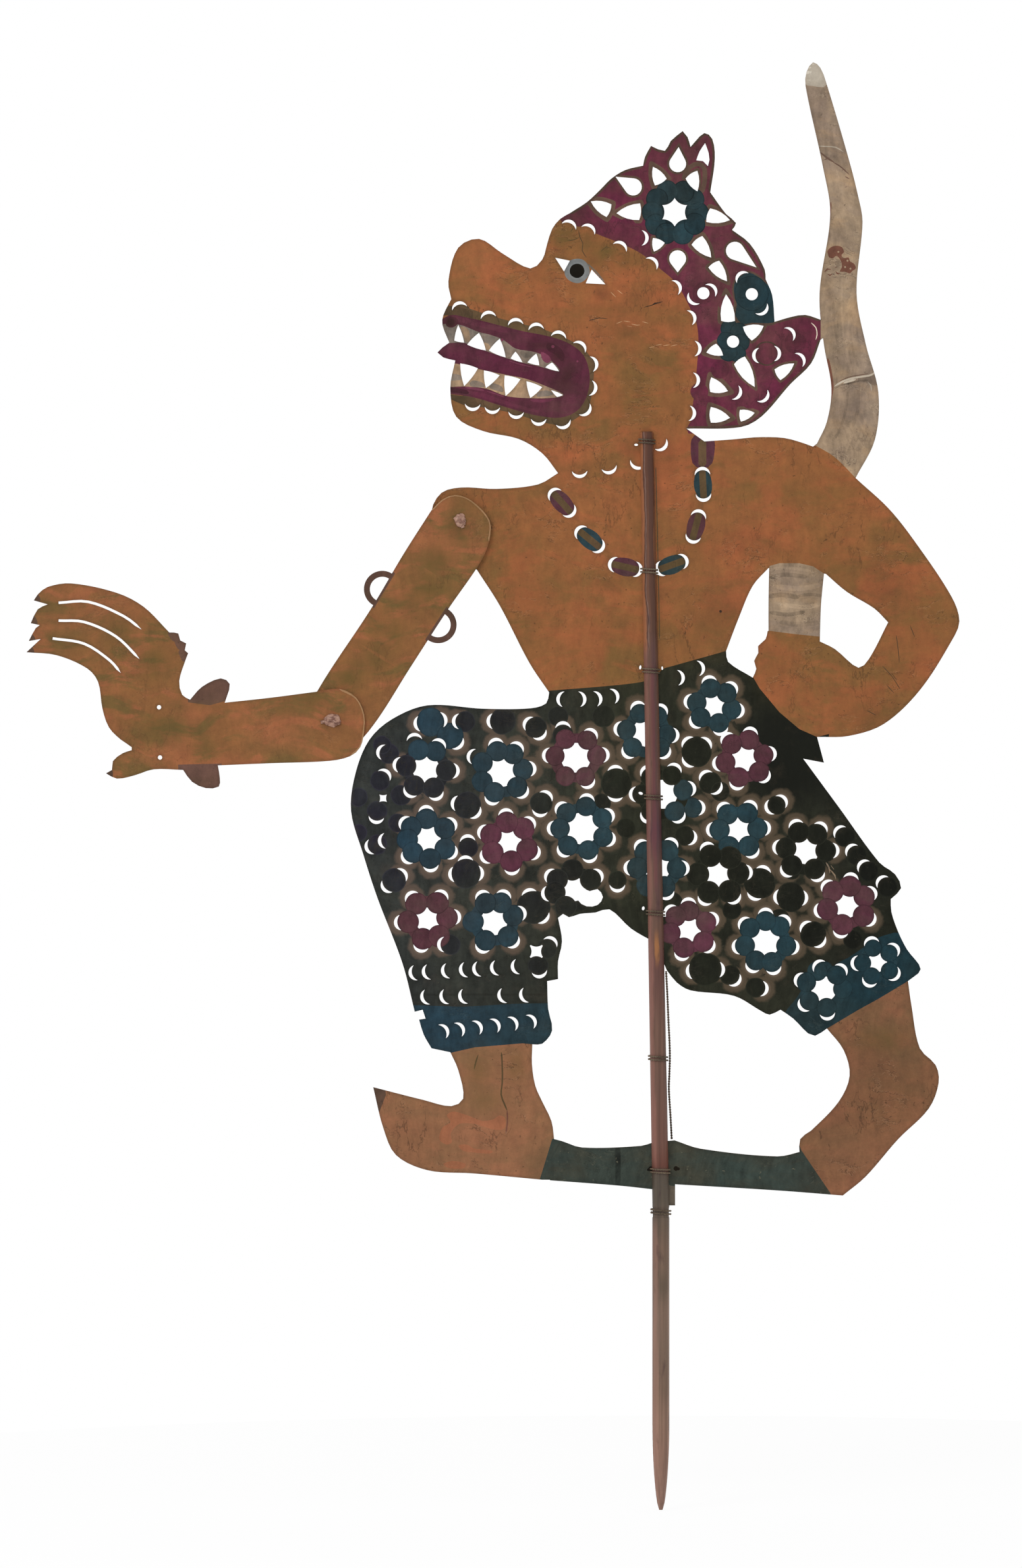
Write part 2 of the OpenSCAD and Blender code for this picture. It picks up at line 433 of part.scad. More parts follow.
module figure_outline() union() {
    shape(head_edge);
    shape(headcloth_edge);
    shape(torso_edge);
    shape(akimbo_edge);
    shape(tail_edge);
    shape(tail_root_edge);
    shape(trousers_edge);
    shape(left_leg_edge);
    shape(right_leg_edge);
    shape(base_strip_edge);
}
module head_holes() {
    for (gap = tooth_gaps) shape(bowed(turned(gap), tooth_bow));
    for (corner = eye_corners) shape(corner);
    for (row = [mouth_row, neck_row, hair_row, cloth_row], spec = row) crescent(spec[0], spec[1]);
    translate(crown_rosette)
        star(crown_petals, crown_ring_r, crown_petal_r, crown_star_r);
    for (points = crown_drops) shape(points);
    shape(crown_tip);
    for (leaf = concat(crown_leaves, cloth_leaves)) shape(bowed(turned(leaf), leaf_bow));
    for (at = cloth_dots) translate(at) circle(dot_r);
}
module trouser_holes() {
    for (spec = rosettes) rosette(spec);
    for (spec = discs) disc(spec);
    for (row = [lone_crescents, waist_row], spec = row) crescent(spec[0], spec[1]);
    for (spec = hem_rows) hem_row(spec);
    for (spec = small_stars) translate(spec[0]) star(small_star_petals, spec[1], petal_r, spec[2]);
    shape(worn_hole);
}
module figure_hide() color("peru") sheet(figure_back) difference() {
    scale([grow, grow]) difference() {
        figure_outline();
        head_holes();
        trouser_holes();
        for (spec = necklace) ornament(spec);
    }
    for (z = hide_ties) tie_slots(z);
    translate(shoulder) circle(d = thong_d + 2 * thong_play);
}

module upper_arm() color("sienna") sheet(arm_back) translate(shoulder) rotate(upper_arm_turn)
    difference() {
        union() {
            polygon(turned(upper_arm_edge));
            for (edge = loop_edges) translate([loop_at, edge]) difference() {
                circle(loop_r);
                circle(loop_r - loop_w);
            }
        }
        circle(d = thong_d + 2 * thong_play);
        translate([upper_arm_len, 0]) circle(d = thong_d + 2 * thong_play);
    }

module forearm() color("peru") sheet(forearm_back) translate(elbow) difference() {
    polygon(turned(forearm_edge));
    circle(d = thong_d + 2 * thong_play);
    for (slit = finger_slits) polygon(turned(band(slit, finger_slit_w)));
    for (at = hand_holes) translate(at) circle(d = hand_hole_d);
}

// A knot: a round dome standing on the XY plane
module knot(h) rotate_extrude() polygon(concat([[0, 0]],
    [for (a = [0:15:90]) [knot_d / 2 * cos(a), h * sin(a)]]));
// A thong through two sheets, from the reverse of one to the face of the other
module thong(at, back, face, back_h) translate([at[0], 0, at[1]]) {
    translate([0, back + knot_air, 0]) rotate([-90, 0, 0]) knot(back_h);
    translate([0, back + knot_air, 0]) rotate([90, 0, 0])
        cylinder(d = thong_d, h = back - face + 2 * knot_air);
    translate([0, face - knot_air, 0]) rotate([90, 0, 0]) knot(knot_h);
}
module shoulder_knot() color("rosybrown") thong(shoulder, figure_back, arm_back - hide_t, knot_h);
module elbow_knot() color("rosybrown") thong(elbow, arm_back, forearm_face, flat_knot_h);

// Frame of the split stick, which leans from the foot of the split
module on_stick(z) translate([0, 0, split_z]) rotate([0, -lean, 0]) translate([0, 0, z - split_z])
    children();
// Half outline of the point, from the tip to the grip
point_steps = 12;
function point_outline() = [for (i = [0:point_steps]) let (t = i / point_steps)
    [point_d / 2 + (grip_d - point_d) / 2 * pow(sin(90 * t), point_swell), grip_end - point_len * (1 - t)]];
module control_rod() color("rosybrown") difference() {
    union() {
        rotate_extrude() polygon(concat([[0, grip_end - point_len]], point_outline(),
            [[grip_d / 2, -grip_end], [grip_d / 2 - notch_depth, -grip_end],
            [grip_d / 2 - notch_depth, split_z], [0, split_z]]));
        translate([0, 0, split_z]) sphere(d = grip_d);
        on_stick(split_z) rotate_extrude() polygon([[0, 0], [grip_d / 2, 0],
            [top_d / 2, stick_top - split_z - top_bevel], [top_d / 2 - top_bevel, stick_top - split_z],
            [0, stick_top - split_z]]);
    }
    translate([-grip_len, -hide_t / 2 - split_play, split_z])
        cube([2 * grip_len, hide_t + 2 * split_play, stick_top]);
}

// A round thread along points: rings of six corners, closed at both ends
thread_sides = 6;
function ring(p, along, up) = let (side = cross(along, up) / norm(cross(along, up)),
        lift = cross(side, along))
    [for (i = [0:thread_sides - 1]) let (a = 360 * i / thread_sides)
        p + thread_d / 2 * (cos(a) * side + sin(a) * lift)];
function heading(p, i) = let (d = p[min(i + 1, len(p) - 1)] - p[max(i - 1, 0)]) d / norm(d);
module tube(p, up) {
    n = thread_sides;
    last = (len(p) - 1) * n;
    polyhedron(
        points = [for (i = [0:len(p) - 1]) each ring(p[i], heading(p, i), up)],
        faces = concat(
            [for (i = [0:len(p) - 2], j = [0:n - 1])
                let (a = i * n + j, b = i * n + (j + 1) % n)
                each [[a, b, a + n], [b, b + n, a + n]]],
            [for (j = [1:n - 2]) [0, j + 1, j]],
            [for (j = [1:n - 2]) [last, last + j, last + j + 1]]));
}

// A tie: a coil round the stick whose ends run straight on for one thread diameter
tie_rings = 24;
function coil(r) = [for (i = [0:tie_turns * tie_rings]) let (a = 360 * i / tie_rings)
    [r * sin(a), -r * cos(a), tie_pitch * (a / 360 - tie_turns / 2)]];
function tie_path(r) = let (c = coil(r), last = len(c) - 1) concat(
    [c[0] - thread_d * heading(c, 0)], c, [c[last] + thread_d * heading(c, last)]);
module tie(z) color("dimgray") on_stick(z) tube(tie_path(tie_r(z)), [0, 0, 1]);
// Least air between two turns, measured on points that are more than half a turn apart
function coil_gap(c) = min([for (i = [0:len(c) - 1], j = [i + tie_rings / 2:1:len(c) - 1])
    norm(c[i] - c[j])]) - thread_d;

module neck_tie() tie(neck_z);
module chest_tie() tie(chest_z);
module waist_tie() tie(waist_z);
module hip_tie() tie(hip_z);
module seat_tie() tie(seat_z);
module shin_tie() tie(shin_z);
module base_tie() tie(base_z);
module grip_tie() color("dimgray") translate([0, 0, grip_tie_z])
    tube(tie_path(tie_r(grip_tie_z)), [0, 0, 1]);

// The thread that runs down the right side of the stick, from the seat to the base strip:
// air to the stick, and height
thread_route = [[0.3, 177], [0.7, 165], [1, 151], [1.3, 141], [1.3, 133], [0.9, 125], [0.5, 117],
    [1, 104], [1.4, 92]];
function route_point(p) = let (z = p[1] * grow) [stick_x(z) + stick_r(z) + thread_d / 2 + p[0], 0, z];
module running_thread() color("dimgray") tube([for (p = thread_route) route_point(p)], [0, 1, 0]);

for (z = hide_ties)
    echo(str("least air between turns of the tie at ", z, " mm"), coil_gap(coil(tie_r(z))));

figure_hide();
control_rod();
upper_arm();
forearm();
shoulder_knot();
elbow_knot();
neck_tie();
chest_tie();
waist_tie();
hip_tie();
seat_tie();
shin_tie();
base_tie();
grip_tie();
running_thread();
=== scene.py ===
# %% [markdown]
# # A shadow puppet of painted hide
# The puppet is a flat figure cut from one buffalo hide, punched with small chisels and painted alike on
# both sides. A stick, split down its middle, takes the hide between its halves and is tied to it with
# thread. One arm hangs from two rawhide knots and swings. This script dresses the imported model: it
# keeps the stick, and puts painted hides, twisted thread and rawhide knots in the place of the plain solids.

# %% Load the model
import math
import bmesh
import bpy
import numpy as np
from mathutils import Matrix, Vector, geometry, kdtree, noise


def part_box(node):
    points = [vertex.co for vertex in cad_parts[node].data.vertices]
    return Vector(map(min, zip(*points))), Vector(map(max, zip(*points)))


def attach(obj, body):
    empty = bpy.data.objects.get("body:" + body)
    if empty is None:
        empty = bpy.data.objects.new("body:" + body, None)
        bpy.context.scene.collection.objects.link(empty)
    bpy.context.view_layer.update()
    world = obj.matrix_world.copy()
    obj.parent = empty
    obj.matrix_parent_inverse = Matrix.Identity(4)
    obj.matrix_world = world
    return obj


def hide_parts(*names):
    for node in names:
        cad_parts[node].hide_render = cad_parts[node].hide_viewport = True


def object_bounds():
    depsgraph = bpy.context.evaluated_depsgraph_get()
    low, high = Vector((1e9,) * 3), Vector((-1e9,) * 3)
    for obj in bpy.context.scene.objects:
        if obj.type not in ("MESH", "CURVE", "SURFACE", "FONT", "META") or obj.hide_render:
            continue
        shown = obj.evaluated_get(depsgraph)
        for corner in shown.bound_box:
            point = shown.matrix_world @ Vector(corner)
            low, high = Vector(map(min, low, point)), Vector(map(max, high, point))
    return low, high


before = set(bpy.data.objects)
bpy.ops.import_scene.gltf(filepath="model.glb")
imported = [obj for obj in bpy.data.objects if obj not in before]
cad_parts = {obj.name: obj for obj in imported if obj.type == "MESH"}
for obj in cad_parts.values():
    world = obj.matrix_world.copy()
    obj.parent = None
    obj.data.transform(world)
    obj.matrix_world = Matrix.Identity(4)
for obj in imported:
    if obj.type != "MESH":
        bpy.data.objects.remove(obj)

MM = 0.001
cad_box = [list(corner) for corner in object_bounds()]
print("nodes:", len(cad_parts), "box:", cad_box)

# %% [markdown]
# ## Camera and light
# The picture was taken square on, from far enough away that nothing is foreshortened. A camera four
# metres off with a long lens does the same. The light is nearly even, as on a copy stand: a white
# sky gives each paint about the brightness that is written here, and one wide soft lamp at the upper
# left models the stick and the knots. The sky is pure white for the camera only, so a white background
# costs the paints nothing.

# %% Camera
scene = bpy.context.scene
scene.view_settings.view_transform = "Standard"
camera = bpy.data.cameras.new("camera")
camera.sensor_fit = "VERTICAL"
camera.sensor_height = 24
view_height = 0.79333
view_distance = 4.0
view_x, view_z = -0.0758, 0.2717
camera.lens = camera.sensor_height * view_distance / view_height
camera_object = bpy.data.objects.new("camera", camera)
camera_object.location = (view_x, -view_distance, view_z)
camera_object.rotation_euler = (math.radians(90), 0, 0)
scene.collection.objects.link(camera_object)
scene.camera = camera_object
print("lens %.1f mm" % camera.lens)


# %% Helpers for shader nodes
def place(tree, kind, inputs=(), **settings):
    """A shader node with its settings; an input is either a value or the socket that feeds it."""
    shader = tree.nodes.new("ShaderNode" + kind)
    for name, value in settings.items():
        setattr(shader, name, value)
    for name, value in dict(inputs).items():
        if isinstance(value, bpy.types.NodeSocket):
            tree.links.new(value, shader.inputs[name])
        else:
            shader.inputs[name].default_value = value
    return shader


def calc(tree, operation, *values):
    return place(tree, "Math", dict(enumerate(values)), operation=operation).outputs[0]


def times(tree, a, b):
    return calc(tree, "MULTIPLY", a, b)


def plus(tree, a, b):
    return calc(tree, "ADD", a, b)


def minus(tree, a, b):
    return calc(tree, "SUBTRACT", a, b)


def larger(tree, a, b):
    return calc(tree, "MAXIMUM", a, b)


def sloped(tree, value, slope, start):
    """A value times a slope, plus a start."""
    return calc(tree, "MULTIPLY_ADD", value, slope, start)


def mixed(tree, amount, first, second, blend="MIX"):
    return place(tree, "Mix", {0: amount, 6: first, 7: second}, data_type="RGBA",
                 blend_type=blend).outputs[2]


def cloud(tree, vector, scale, detail=3.0, roughness=0.55):
    return place(tree, "TexNoise", {"Vector": vector, "Scale": scale, "Detail": detail,
                                    "Roughness": roughness}).outputs[0]


def mapped(tree, vector, **change):
    """A vector moved, turned or stretched, so that a texture lies another way."""
    return place(tree, "Mapping", {"Vector": vector, **change}).outputs[0]


def step(tree, value, low, high):
    """0 below low, 1 above high, and a soft slope between them."""
    return place(tree, "MapRange", {"Value": value, "From Min": low, "From Max": high},
                 interpolation_type="SMOOTHSTEP").outputs[0]


def fall(tree, value, low, high):
    """1 below low, 0 above high, and a soft slope between them."""
    return minus(tree, 1.0, step(tree, value, low, high))


def on_object(tree):
    """The place of a point on its object, in metres."""
    return place(tree, "TexCoord").outputs["Object"]


print("helpers ready")


# %% Helpers for colours and materials
def srgb(code):
    """A colour as a painter would pick it on a screen, turned into the linear one that shaders use."""
    parts = [int(code[i:i + 2], 16) / 255 for i in (1, 3, 5)]
    return tuple(c / 12.92 if c <= 0.04045 else ((c + 0.055) / 1.055) ** 2.4 for c in parts) + (1.0,)


def ramp_of(tree, value, stops):
    """A colour that follows a value between 0 and 1, through stops with a place and a colour each."""
    ramp = place(tree, "ValToRGB", {0: value})
    elements = ramp.color_ramp.elements
    while len(elements) < len(stops):
        elements.new(0.5)
    for element, (at, code) in zip(elements, stops):
        element.position = at
        element.color = srgb(code)
    return ramp.outputs[0]


def new_material(name):
    """A material and its empty tree of nodes."""
    material = bpy.data.materials.new(name)
    material.use_nodes = True
    material.node_tree.nodes.clear()
    return material, material.node_tree


def surface_of(tree, colour, rough, shine, height, relief, depth):
    """The last nodes of a finish: a relief of some depth in millimetres, and the surface itself."""
    bump = place(tree, "Bump", {"Height": height, "Strength": relief, "Distance": depth * MM})
    surface = place(tree, "BsdfPrincipled", {"Base Color": colour, "Roughness": rough,
                                             "Specular IOR Level": shine, "Normal": bump.outputs[0]})
    place(tree, "OutputMaterial", {"Surface": surface.outputs[0]})
    return surface


print("middle grey:", srgb("#777777"))

# %% Light
world = bpy.data.worlds.new("sky")
world.use_nodes = True
sky = world.node_tree
sky.nodes.clear()
path = place(sky, "LightPath")
seen = larger(sky, path.outputs["Is Camera Ray"],
              larger(sky, path.outputs["Is Glossy Ray"], path.outputs["Is Transmission Ray"]))
sky_level = 0.84
strength = sloped(sky, seen, 1 - sky_level, sky_level)
back = place(sky, "Background", {"Color": (1, 1, 1, 1), "Strength": strength})
out = sky.nodes.new("ShaderNodeOutputWorld")
sky.links.new(back.outputs[0], out.inputs[0])
scene.world = world

lamp = bpy.data.lights.new("soft_lamp", "AREA")
lamp.shape = "DISK"
lamp.size = 1.2
lamp.energy = 26
lamp_object = bpy.data.objects.new("soft_lamp", lamp)
lamp_object.location = (-1.5, -2.2, 1.9)
aim = Vector((0, 0, 0.3)) - lamp_object.location
lamp_object.rotation_euler = aim.to_track_quat("-Z", "Y").to_euler()
scene.collection.objects.link(lamp_object)
print("sky", sky_level, "lamp", lamp.energy)


# %% Floor
def new_object(name, bm, materials):
    """An object at the origin whose place is in its mesh."""
    mesh = bpy.data.meshes.new(name)
    bm.to_mesh(mesh)
    bm.free()
    for material in materials:
        mesh.materials.append(material)
    piece = bpy.data.objects.new(name, mesh)
    scene.collection.objects.link(piece)
    return piece


floor_paint, tree = new_material("floor_white")
matt = place(tree, "BsdfDiffuse", {"Color": (0.95, 0.95, 0.95, 1)})
glow = place(tree, "Emission", {"Color": (1, 1, 1, 1), "Strength": 1.0})
path = place(tree, "LightPath")
blend = place(tree, "MixShader", {0: times(tree, path.outputs["Is Camera Ray"], 0.9),
                                  1: matt.outputs[0], 2: glow.outputs[0]})
place(tree, "OutputMaterial", {"Surface": blend.outputs[0]})
bm = bmesh.new()
bmesh.ops.create_circle(bm, cap_ends=True, segments=96, radius=0.6,
                        matrix=Matrix.Translation((0, 0, cad_box[0][2] - 0.2 * MM)))
floor = new_object("floor", bm, [floor_paint])
print("floor at", cad_box[0][2])

# %% [markdown]
# ## Old paint on hide
# The maker rubs the scraped hide smooth, grounds it and lays on flat body colours, then outlines them in
# brown. After decades of handling the colours drift, brush strokes show through, grime gathers and the
# hide comes out where the paint is rubbed off. All paints share these effects, so they are one node
# group, and each paint sets its own colours and amounts. Two things differ from place to place, and are
# kept in the mesh: "tone" makes a single petal or stroke lighter or darker, and a second attribute carries
# soft patches of olive grime (red), dark smudges together with painted shadow beside the stick and under
# the knots (green), pale rubbing (blue) and warmer paint (alpha). "rim" rises towards the cut edges, and
# the paint darkens along them.


# %% Grain of the hide
def shader_group(name, inputs, outputs):
    tree = bpy.data.node_groups.new(name, "ShaderNodeTree")
    for label, value in inputs.items():
        kind = "NodeSocketColor" if isinstance(value, tuple) else "NodeSocketFloat"
        socket = tree.interface.new_socket(label, in_out="INPUT", socket_type=kind)
        socket.default_value = value
    for label, kind in outputs.items():
        tree.interface.new_socket(label, in_out="OUTPUT", socket_type="NodeSocket" + kind)
    return tree, tree.nodes.new("NodeGroupInput").outputs, tree.nodes.new("NodeGroupOutput").inputs


grain_group, _, result = shader_group("hide_grain", {}, {"Height": "Float"})
tree = grain_group
place_on_hide = on_object(tree)
pores = place(tree, "TexVoronoi", {"Vector": place_on_hide, "Scale": 850.0,
                                   "Randomness": 0.9}).outputs["Distance"]
ripple = cloud(tree, place_on_hide, 120.0, 4.0)
fine = cloud(tree, place_on_hide, 1600.0, 2.0)
height = plus(tree, times(tree, pores, 0.35),
              plus(tree, times(tree, ripple, 1.2), times(tree, fine, 0.3)))
tree.links.new(height, result["Height"])
print("nodes of the grain:", len(tree.nodes))

# %% The shared paint group: clouds and strokes
paint_group, given, result = shader_group(
    "old_paint",
    {"Paint": srgb("#99603a"), "Drift": srgb("#7c5c34"), "Warm": srgb("#a4603f"), "Bare": srgb("#b08a62"),
     "Seam": srgb("#3a2a1c"), "Mottle": 0.3, "Brush": 0.2, "Rub": 0.2, "Gloss": 0.5, "Crack": 0.5,
     "Patch": 0.34},
    {"Color": "Color", "Roughness": "Float", "Height": "Float"})
tree = paint_group
place_on_hide = on_object(tree)
broad = step(tree, cloud(tree, place_on_hide, 17.0, 6.0, 0.56), 0.44, 0.62)
elsewhere = mapped(tree, place_on_hide, Location=(3.1, 0, 1.7))
second = step(tree, cloud(tree, elsewhere, 24.0, 6.0, 0.56), 0.47, 0.65)
mottle = cloud(tree, place_on_hide, 140.0, 6.0, 0.65)
fleck = cloud(tree, place_on_hide, 1100.0, 3.0, 0.6)
sway = place(tree, "TexNoise", {"Vector": place_on_hide, "Scale": 17.0, "Detail": 2.0}).outputs["Color"]
swayed = place(tree, "VectorMath", {0: sway, 1: (0.034, 0.034, 0.034), 2: place_on_hide},
               operation="MULTIPLY_ADD").outputs[0]
slanted = mapped(tree, swayed, Rotation=(0, math.radians(52), 0), Scale=(360, 360, 46))
stroke = cloud(tree, slanted, 1.0, 4.0, 0.6)
brushed = mapped(tree, swayed, Rotation=(0, math.radians(24), 0), Scale=(0.32, 1.2, 1.2))
blotch = step(tree, cloud(tree, brushed, 85.0, 6.0, 0.6), 0.49, 0.64)
beyond = mapped(tree, brushed, Location=(1.3, 0, 5.2))
ruddy = step(tree, cloud(tree, beyond, 120.0, 6.0, 0.6), 0.5, 0.65)
print("nodes of the paint:", len(tree.nodes))

# %% Colour, tone and stains
tone = place(tree, "Attribute", attribute_name="tone").outputs["Fac"]
stain_and_shadow_input = place(tree, "Attribute", attribute_name="stain_and_shadow")
stain_and_shadow = place(tree, "SeparateColor", {0: stain_and_shadow_input.outputs["Color"]})
colour = mixed(tree, times(tree, broad, 0.8), given["Paint"], given["Drift"])
colour = mixed(tree, times(tree, second, 0.8), colour, given["Warm"])
colour = mixed(tree, times(tree, blotch, given["Patch"]), colour, given["Drift"])
colour = mixed(tree, times(tree, ruddy, given["Patch"]), colour, given["Warm"])
warmed = times(tree, stain_and_shadow_input.outputs["Alpha"], sloped(tree, mottle, 1.2, 0.3))
colour = mixed(tree, warmed, colour, given["Warm"])
level = sloped(tree, minus(tree, mottle, 0.5), given["Mottle"], 1.0)
level = sloped(tree, minus(tree, stroke, 0.5), given["Brush"], level)
level = sloped(tree, minus(tree, fleck, 0.5), 0.25, level)
level = plus(tree, level, tone)
colour = place(tree, "VectorMath", {0: colour, "Scale": level}, operation="SCALE").outputs[0]
olive = times(tree, stain_and_shadow.outputs[0], sloped(tree, mottle, 1.2, 0.2))
colour = mixed(tree, olive, colour, srgb("#5a4b25"))
# The dark channel: dark smudges and, in a few places, painted shadow beside the stick and under the knots.
smudge_and_shadow = times(tree, stain_and_shadow.outputs[1], sloped(tree, stroke, 1.0, 0.4))
colour = mixed(tree, smudge_and_shadow, colour, srgb("#2c1d14"))
# Towards the cut edges the paint darkens in patches.
rim = place(tree, "Attribute", attribute_name="rim").outputs["Fac"]
rim_darkening = step(tree, sloped(tree, mottle, 0.7, rim), 0.85, 1.35)
colour = mixed(tree, times(tree, rim_darkening, 0.32), colour, given["Seam"])
print("nodes of the paint:", len(tree.nodes))

# %% Rubbing, cracks and creases
worn = sloped(tree, given["Rub"], 0.2, times(tree, stain_and_shadow.outputs[2], 0.25))
rubbed = step(tree, plus(tree, cloud(tree, place_on_hide, 330.0, 5.0, 0.7), worn), 0.72, 0.82)
colour = mixed(tree, times(tree, rubbed, 0.75), colour, given["Bare"])
colour = mixed(tree, times(tree, stain_and_shadow.outputs[2], 0.5), colour, given["Bare"])
bent = mapped(tree, place_on_hide, Rotation=(0, math.radians(-17), 0), Scale=(60, 60, 24))
thread_like = calc(tree, "ABSOLUTE", minus(tree, cloud(tree, bent, 1.0, 5.0, 0.62), 0.5))
crack = times(tree, fall(tree, thread_like, 0.002, 0.012),
              step(tree, cloud(tree, place_on_hide, 26.0, 2.0), 0.5, 0.64))
crack = times(tree, crack, given["Crack"])
speck = step(tree, cloud(tree, place_on_hide, 520.0, 3.0, 0.6), 0.66, 0.74)
colour = mixed(tree, times(tree, times(tree, speck, given["Crack"]), 0.7), colour, given["Seam"])
colour = mixed(tree, times(tree, crack, 0.55), colour, given["Seam"])
drawn = mapped(tree, swayed, Rotation=(0, math.radians(9), 0), Scale=(52, 150, 150))
fold = minus(tree, cloud(tree, drawn, 1.0, 6.0, 0.64), 0.5)
where = times(tree, step(tree, cloud(tree, place_on_hide, 48.0, 3.0), 0.5, 0.62), given["Crack"])
crease = times(tree, fall(tree, calc(tree, "ABSOLUTE", fold), 0.003, 0.012), where)
beside = calc(tree, "ABSOLUTE", minus(tree, fold, 0.018))
ridge = times(tree, fall(tree, beside, 0.003, 0.012), where)
colour = mixed(tree, times(tree, crease, 0.6), colour, given["Seam"])
colour = mixed(tree, times(tree, ridge, 0.3), colour, given["Bare"])
print("nodes of the paint:", len(tree.nodes))

# %% Roughness and relief
rough = sloped(tree, minus(tree, mottle, 0.5), 0.5, given["Gloss"])
rough = sloped(tree, rubbed, 0.15, rough)
grain = place(tree, "Group", node_tree=grain_group).outputs["Height"]
height = sloped(tree, stroke, 0.3, grain)
height = sloped(tree, rubbed, -0.3, height)
height = sloped(tree, crack, -0.6, height)
height = sloped(tree, crease, -0.8, height)
for label, socket in (("Color", colour), ("Roughness", rough), ("Height", height)):
    tree.links.new(socket, result[label])
print("groups:", [group.name for group in bpy.data.node_groups])

# %% Paints
paints = {}


def paint(name, colours, mottle=0.6, brush=0.4, rub=0.2, gloss=0.65, shine=0.15, crack=0.5, patch=0.34):
    """A paint of the maker's box. Its colours: fresh, drifted, warmer, the bare ground and the cracks."""
    material, tree = new_material(name)
    values = dict(zip(("Paint", "Drift", "Warm", "Bare", "Seam"), map(srgb, colours.split())))
    values.update(Mottle=mottle, Brush=brush, Rub=rub, Gloss=gloss, Crack=crack, Patch=patch)
    old = place(tree, "Group", values, node_tree=paint_group)
    colour, rough, height = (old.outputs[label] for label in ("Color", "Roughness", "Height"))
    surface = surface_of(tree, colour, rough, shine, height, relief=0.35, depth=0.15)
    paints[name] = material
    return tree, old, surface


paint("skin", "#8c5933 #74552e #9d5936 #ad8058 #46301c", mottle=0.8, brush=0.35, rub=0.15, crack=0.9,
      patch=0.44)
paint("arm", "#845833 #67532d #985c3b #ad8058 #46301c", mottle=0.8, brush=0.35, rub=0.15, crack=0.45,
      patch=0.85)
paint("repaint", "#945c3f #8a583c #9a6145 #b58a6a #5a3a24", mottle=0.6, brush=0.5, rub=0.15, crack=0.3)
paint("leg", "#7f573c #705439 #8a5a40 #a07a5c #402c1d", mottle=0.9, brush=0.45, rub=0.18, crack=1.0)
paint("rust", "#6a4334 #5f3d30 #734a3b #8d755f #4a2c22", mottle=1.4, brush=0.8, rub=0.5)
paint("pale_fold", "#c2b5a2 #b3a592 #cbbfae #d8cfc0 #8d7d6b", mottle=0.5, brush=0.4)
paint("headcloth", "#5e2636 #613639 #64203b #83525a #2a1519", mottle=1.5, brush=0.8, rub=0.2, crack=0.7)
paint("leaf_brown", "#62493d #544236 #6b5143 #83695a #2f2418", mottle=1.0, brush=0.6)
paint("brown_line", "#5e4a2f #4e3f2a #664d38 #7c6646 #2f2418", mottle=0.9, brush=0.5)
paint("burgundy", "#512f36 #523d3b #592d3d #7c4c52 #2a141c", mottle=1.2, brush=0.8, rub=0.2, shine=0.1)
paint("lip", "#512733 #593739 #5a2338 #7c4c52 #2a141c", mottle=1.2, brush=0.8, rub=0.2, shine=0.1)
paint("tail_grey", "#978169 #7d6c60 #a68765 #c0ac92 #5c4c40", mottle=1.4, brush=0.9, rub=0.25, crack=1.0)
paint("base_green", "#343b35 #35403b #3e3c31 #6e6a58 #161a16", mottle=1.4, brush=0.9, rub=0.5, shine=0.1)
paint("tab_grey", "#5c5347 #50473d #62574a #7f7465 #2a251f", mottle=1.2, brush=0.8, rub=0.3)
paint("tooth", "#9c8066 #857565 #a98a69 #bda587 #4b3b2a", mottle=1.3, brush=0.9, rub=0.2)
paint("tooth_grey", "#827266 #6b6c65 #8d7a6a #938878 #3a332c", mottle=1.2, brush=0.9, rub=0.2)
paint("gum_pink", "#6d2f45 #602c3b #783c50 #8a5a62 #35161f", mottle=1.0, brush=0.7, rub=0.2)
paint("iris", "#777877 #686c6d #807e78 #9a9993 #43413f", mottle=0.8, brush=0.5)
paint("pupil", "#120f0b #17140f #1a140d #352c23 #050403", mottle=0.5, brush=0.4, shine=0.06)
paint("band_brown", "#5f4437 #523d2f #694b41 #866a54 #2f2018", mottle=0.8, brush=0.5, rub=0.25)
paint("nail", "#584234 #4b392c #61483a #7a604f #241912", mottle=0.8, brush=0.5, rub=0.25)
paint("ink", "#2c1f16 #33251a #261b14 #5f432e #120c08", mottle=0.6, brush=0.4, rub=0.2)
paint("pale_line", "#b0875f #a37a55 #b98f6b #c6a482 #7a5a3c", mottle=0.5, brush=0.3)
paint("cut_edge", "#8f6a48 #7d5b3b #9a7552 #b89a76 #4a3320", mottle=0.7, brush=0.3, rub=0.3)
print("paints:", len(paints))

# %% [markdown]
# ## The black of the trousers
# The trousers were painted black, but the black has aged unevenly: slate at the left, olive in the middle,
# deep at the right. Round each punched crescent the painter first laid a soft brown halo. Drawn as a
# shape it would get a hard border, so the mesh only tells each point how far it is from its two nearest
# crescents ("halo_near" and "halo_next": the way from the middle of its circle, and that circle's
# radius), and the finish fades from brown to black by that distance, with a cloud to unsettle the border.


# %% Paints that age across the figure
left_leg, right_leg = -0.15, 0.12  # X in metres


def across(tree, codes):
    """A colour that changes from the left leg to the right one: left, middle and right."""
    side = place(tree, "SeparateXYZ", {0: on_object(tree)}).outputs[0]
    share = place(tree, "MapRange", {"Value": side, "From Min": left_leg, "From Max": right_leg}).outputs[0]
    codes = codes.split()
    return ramp_of(tree, share, [(i / (len(codes) - 1), code) for i, code in enumerate(codes)])


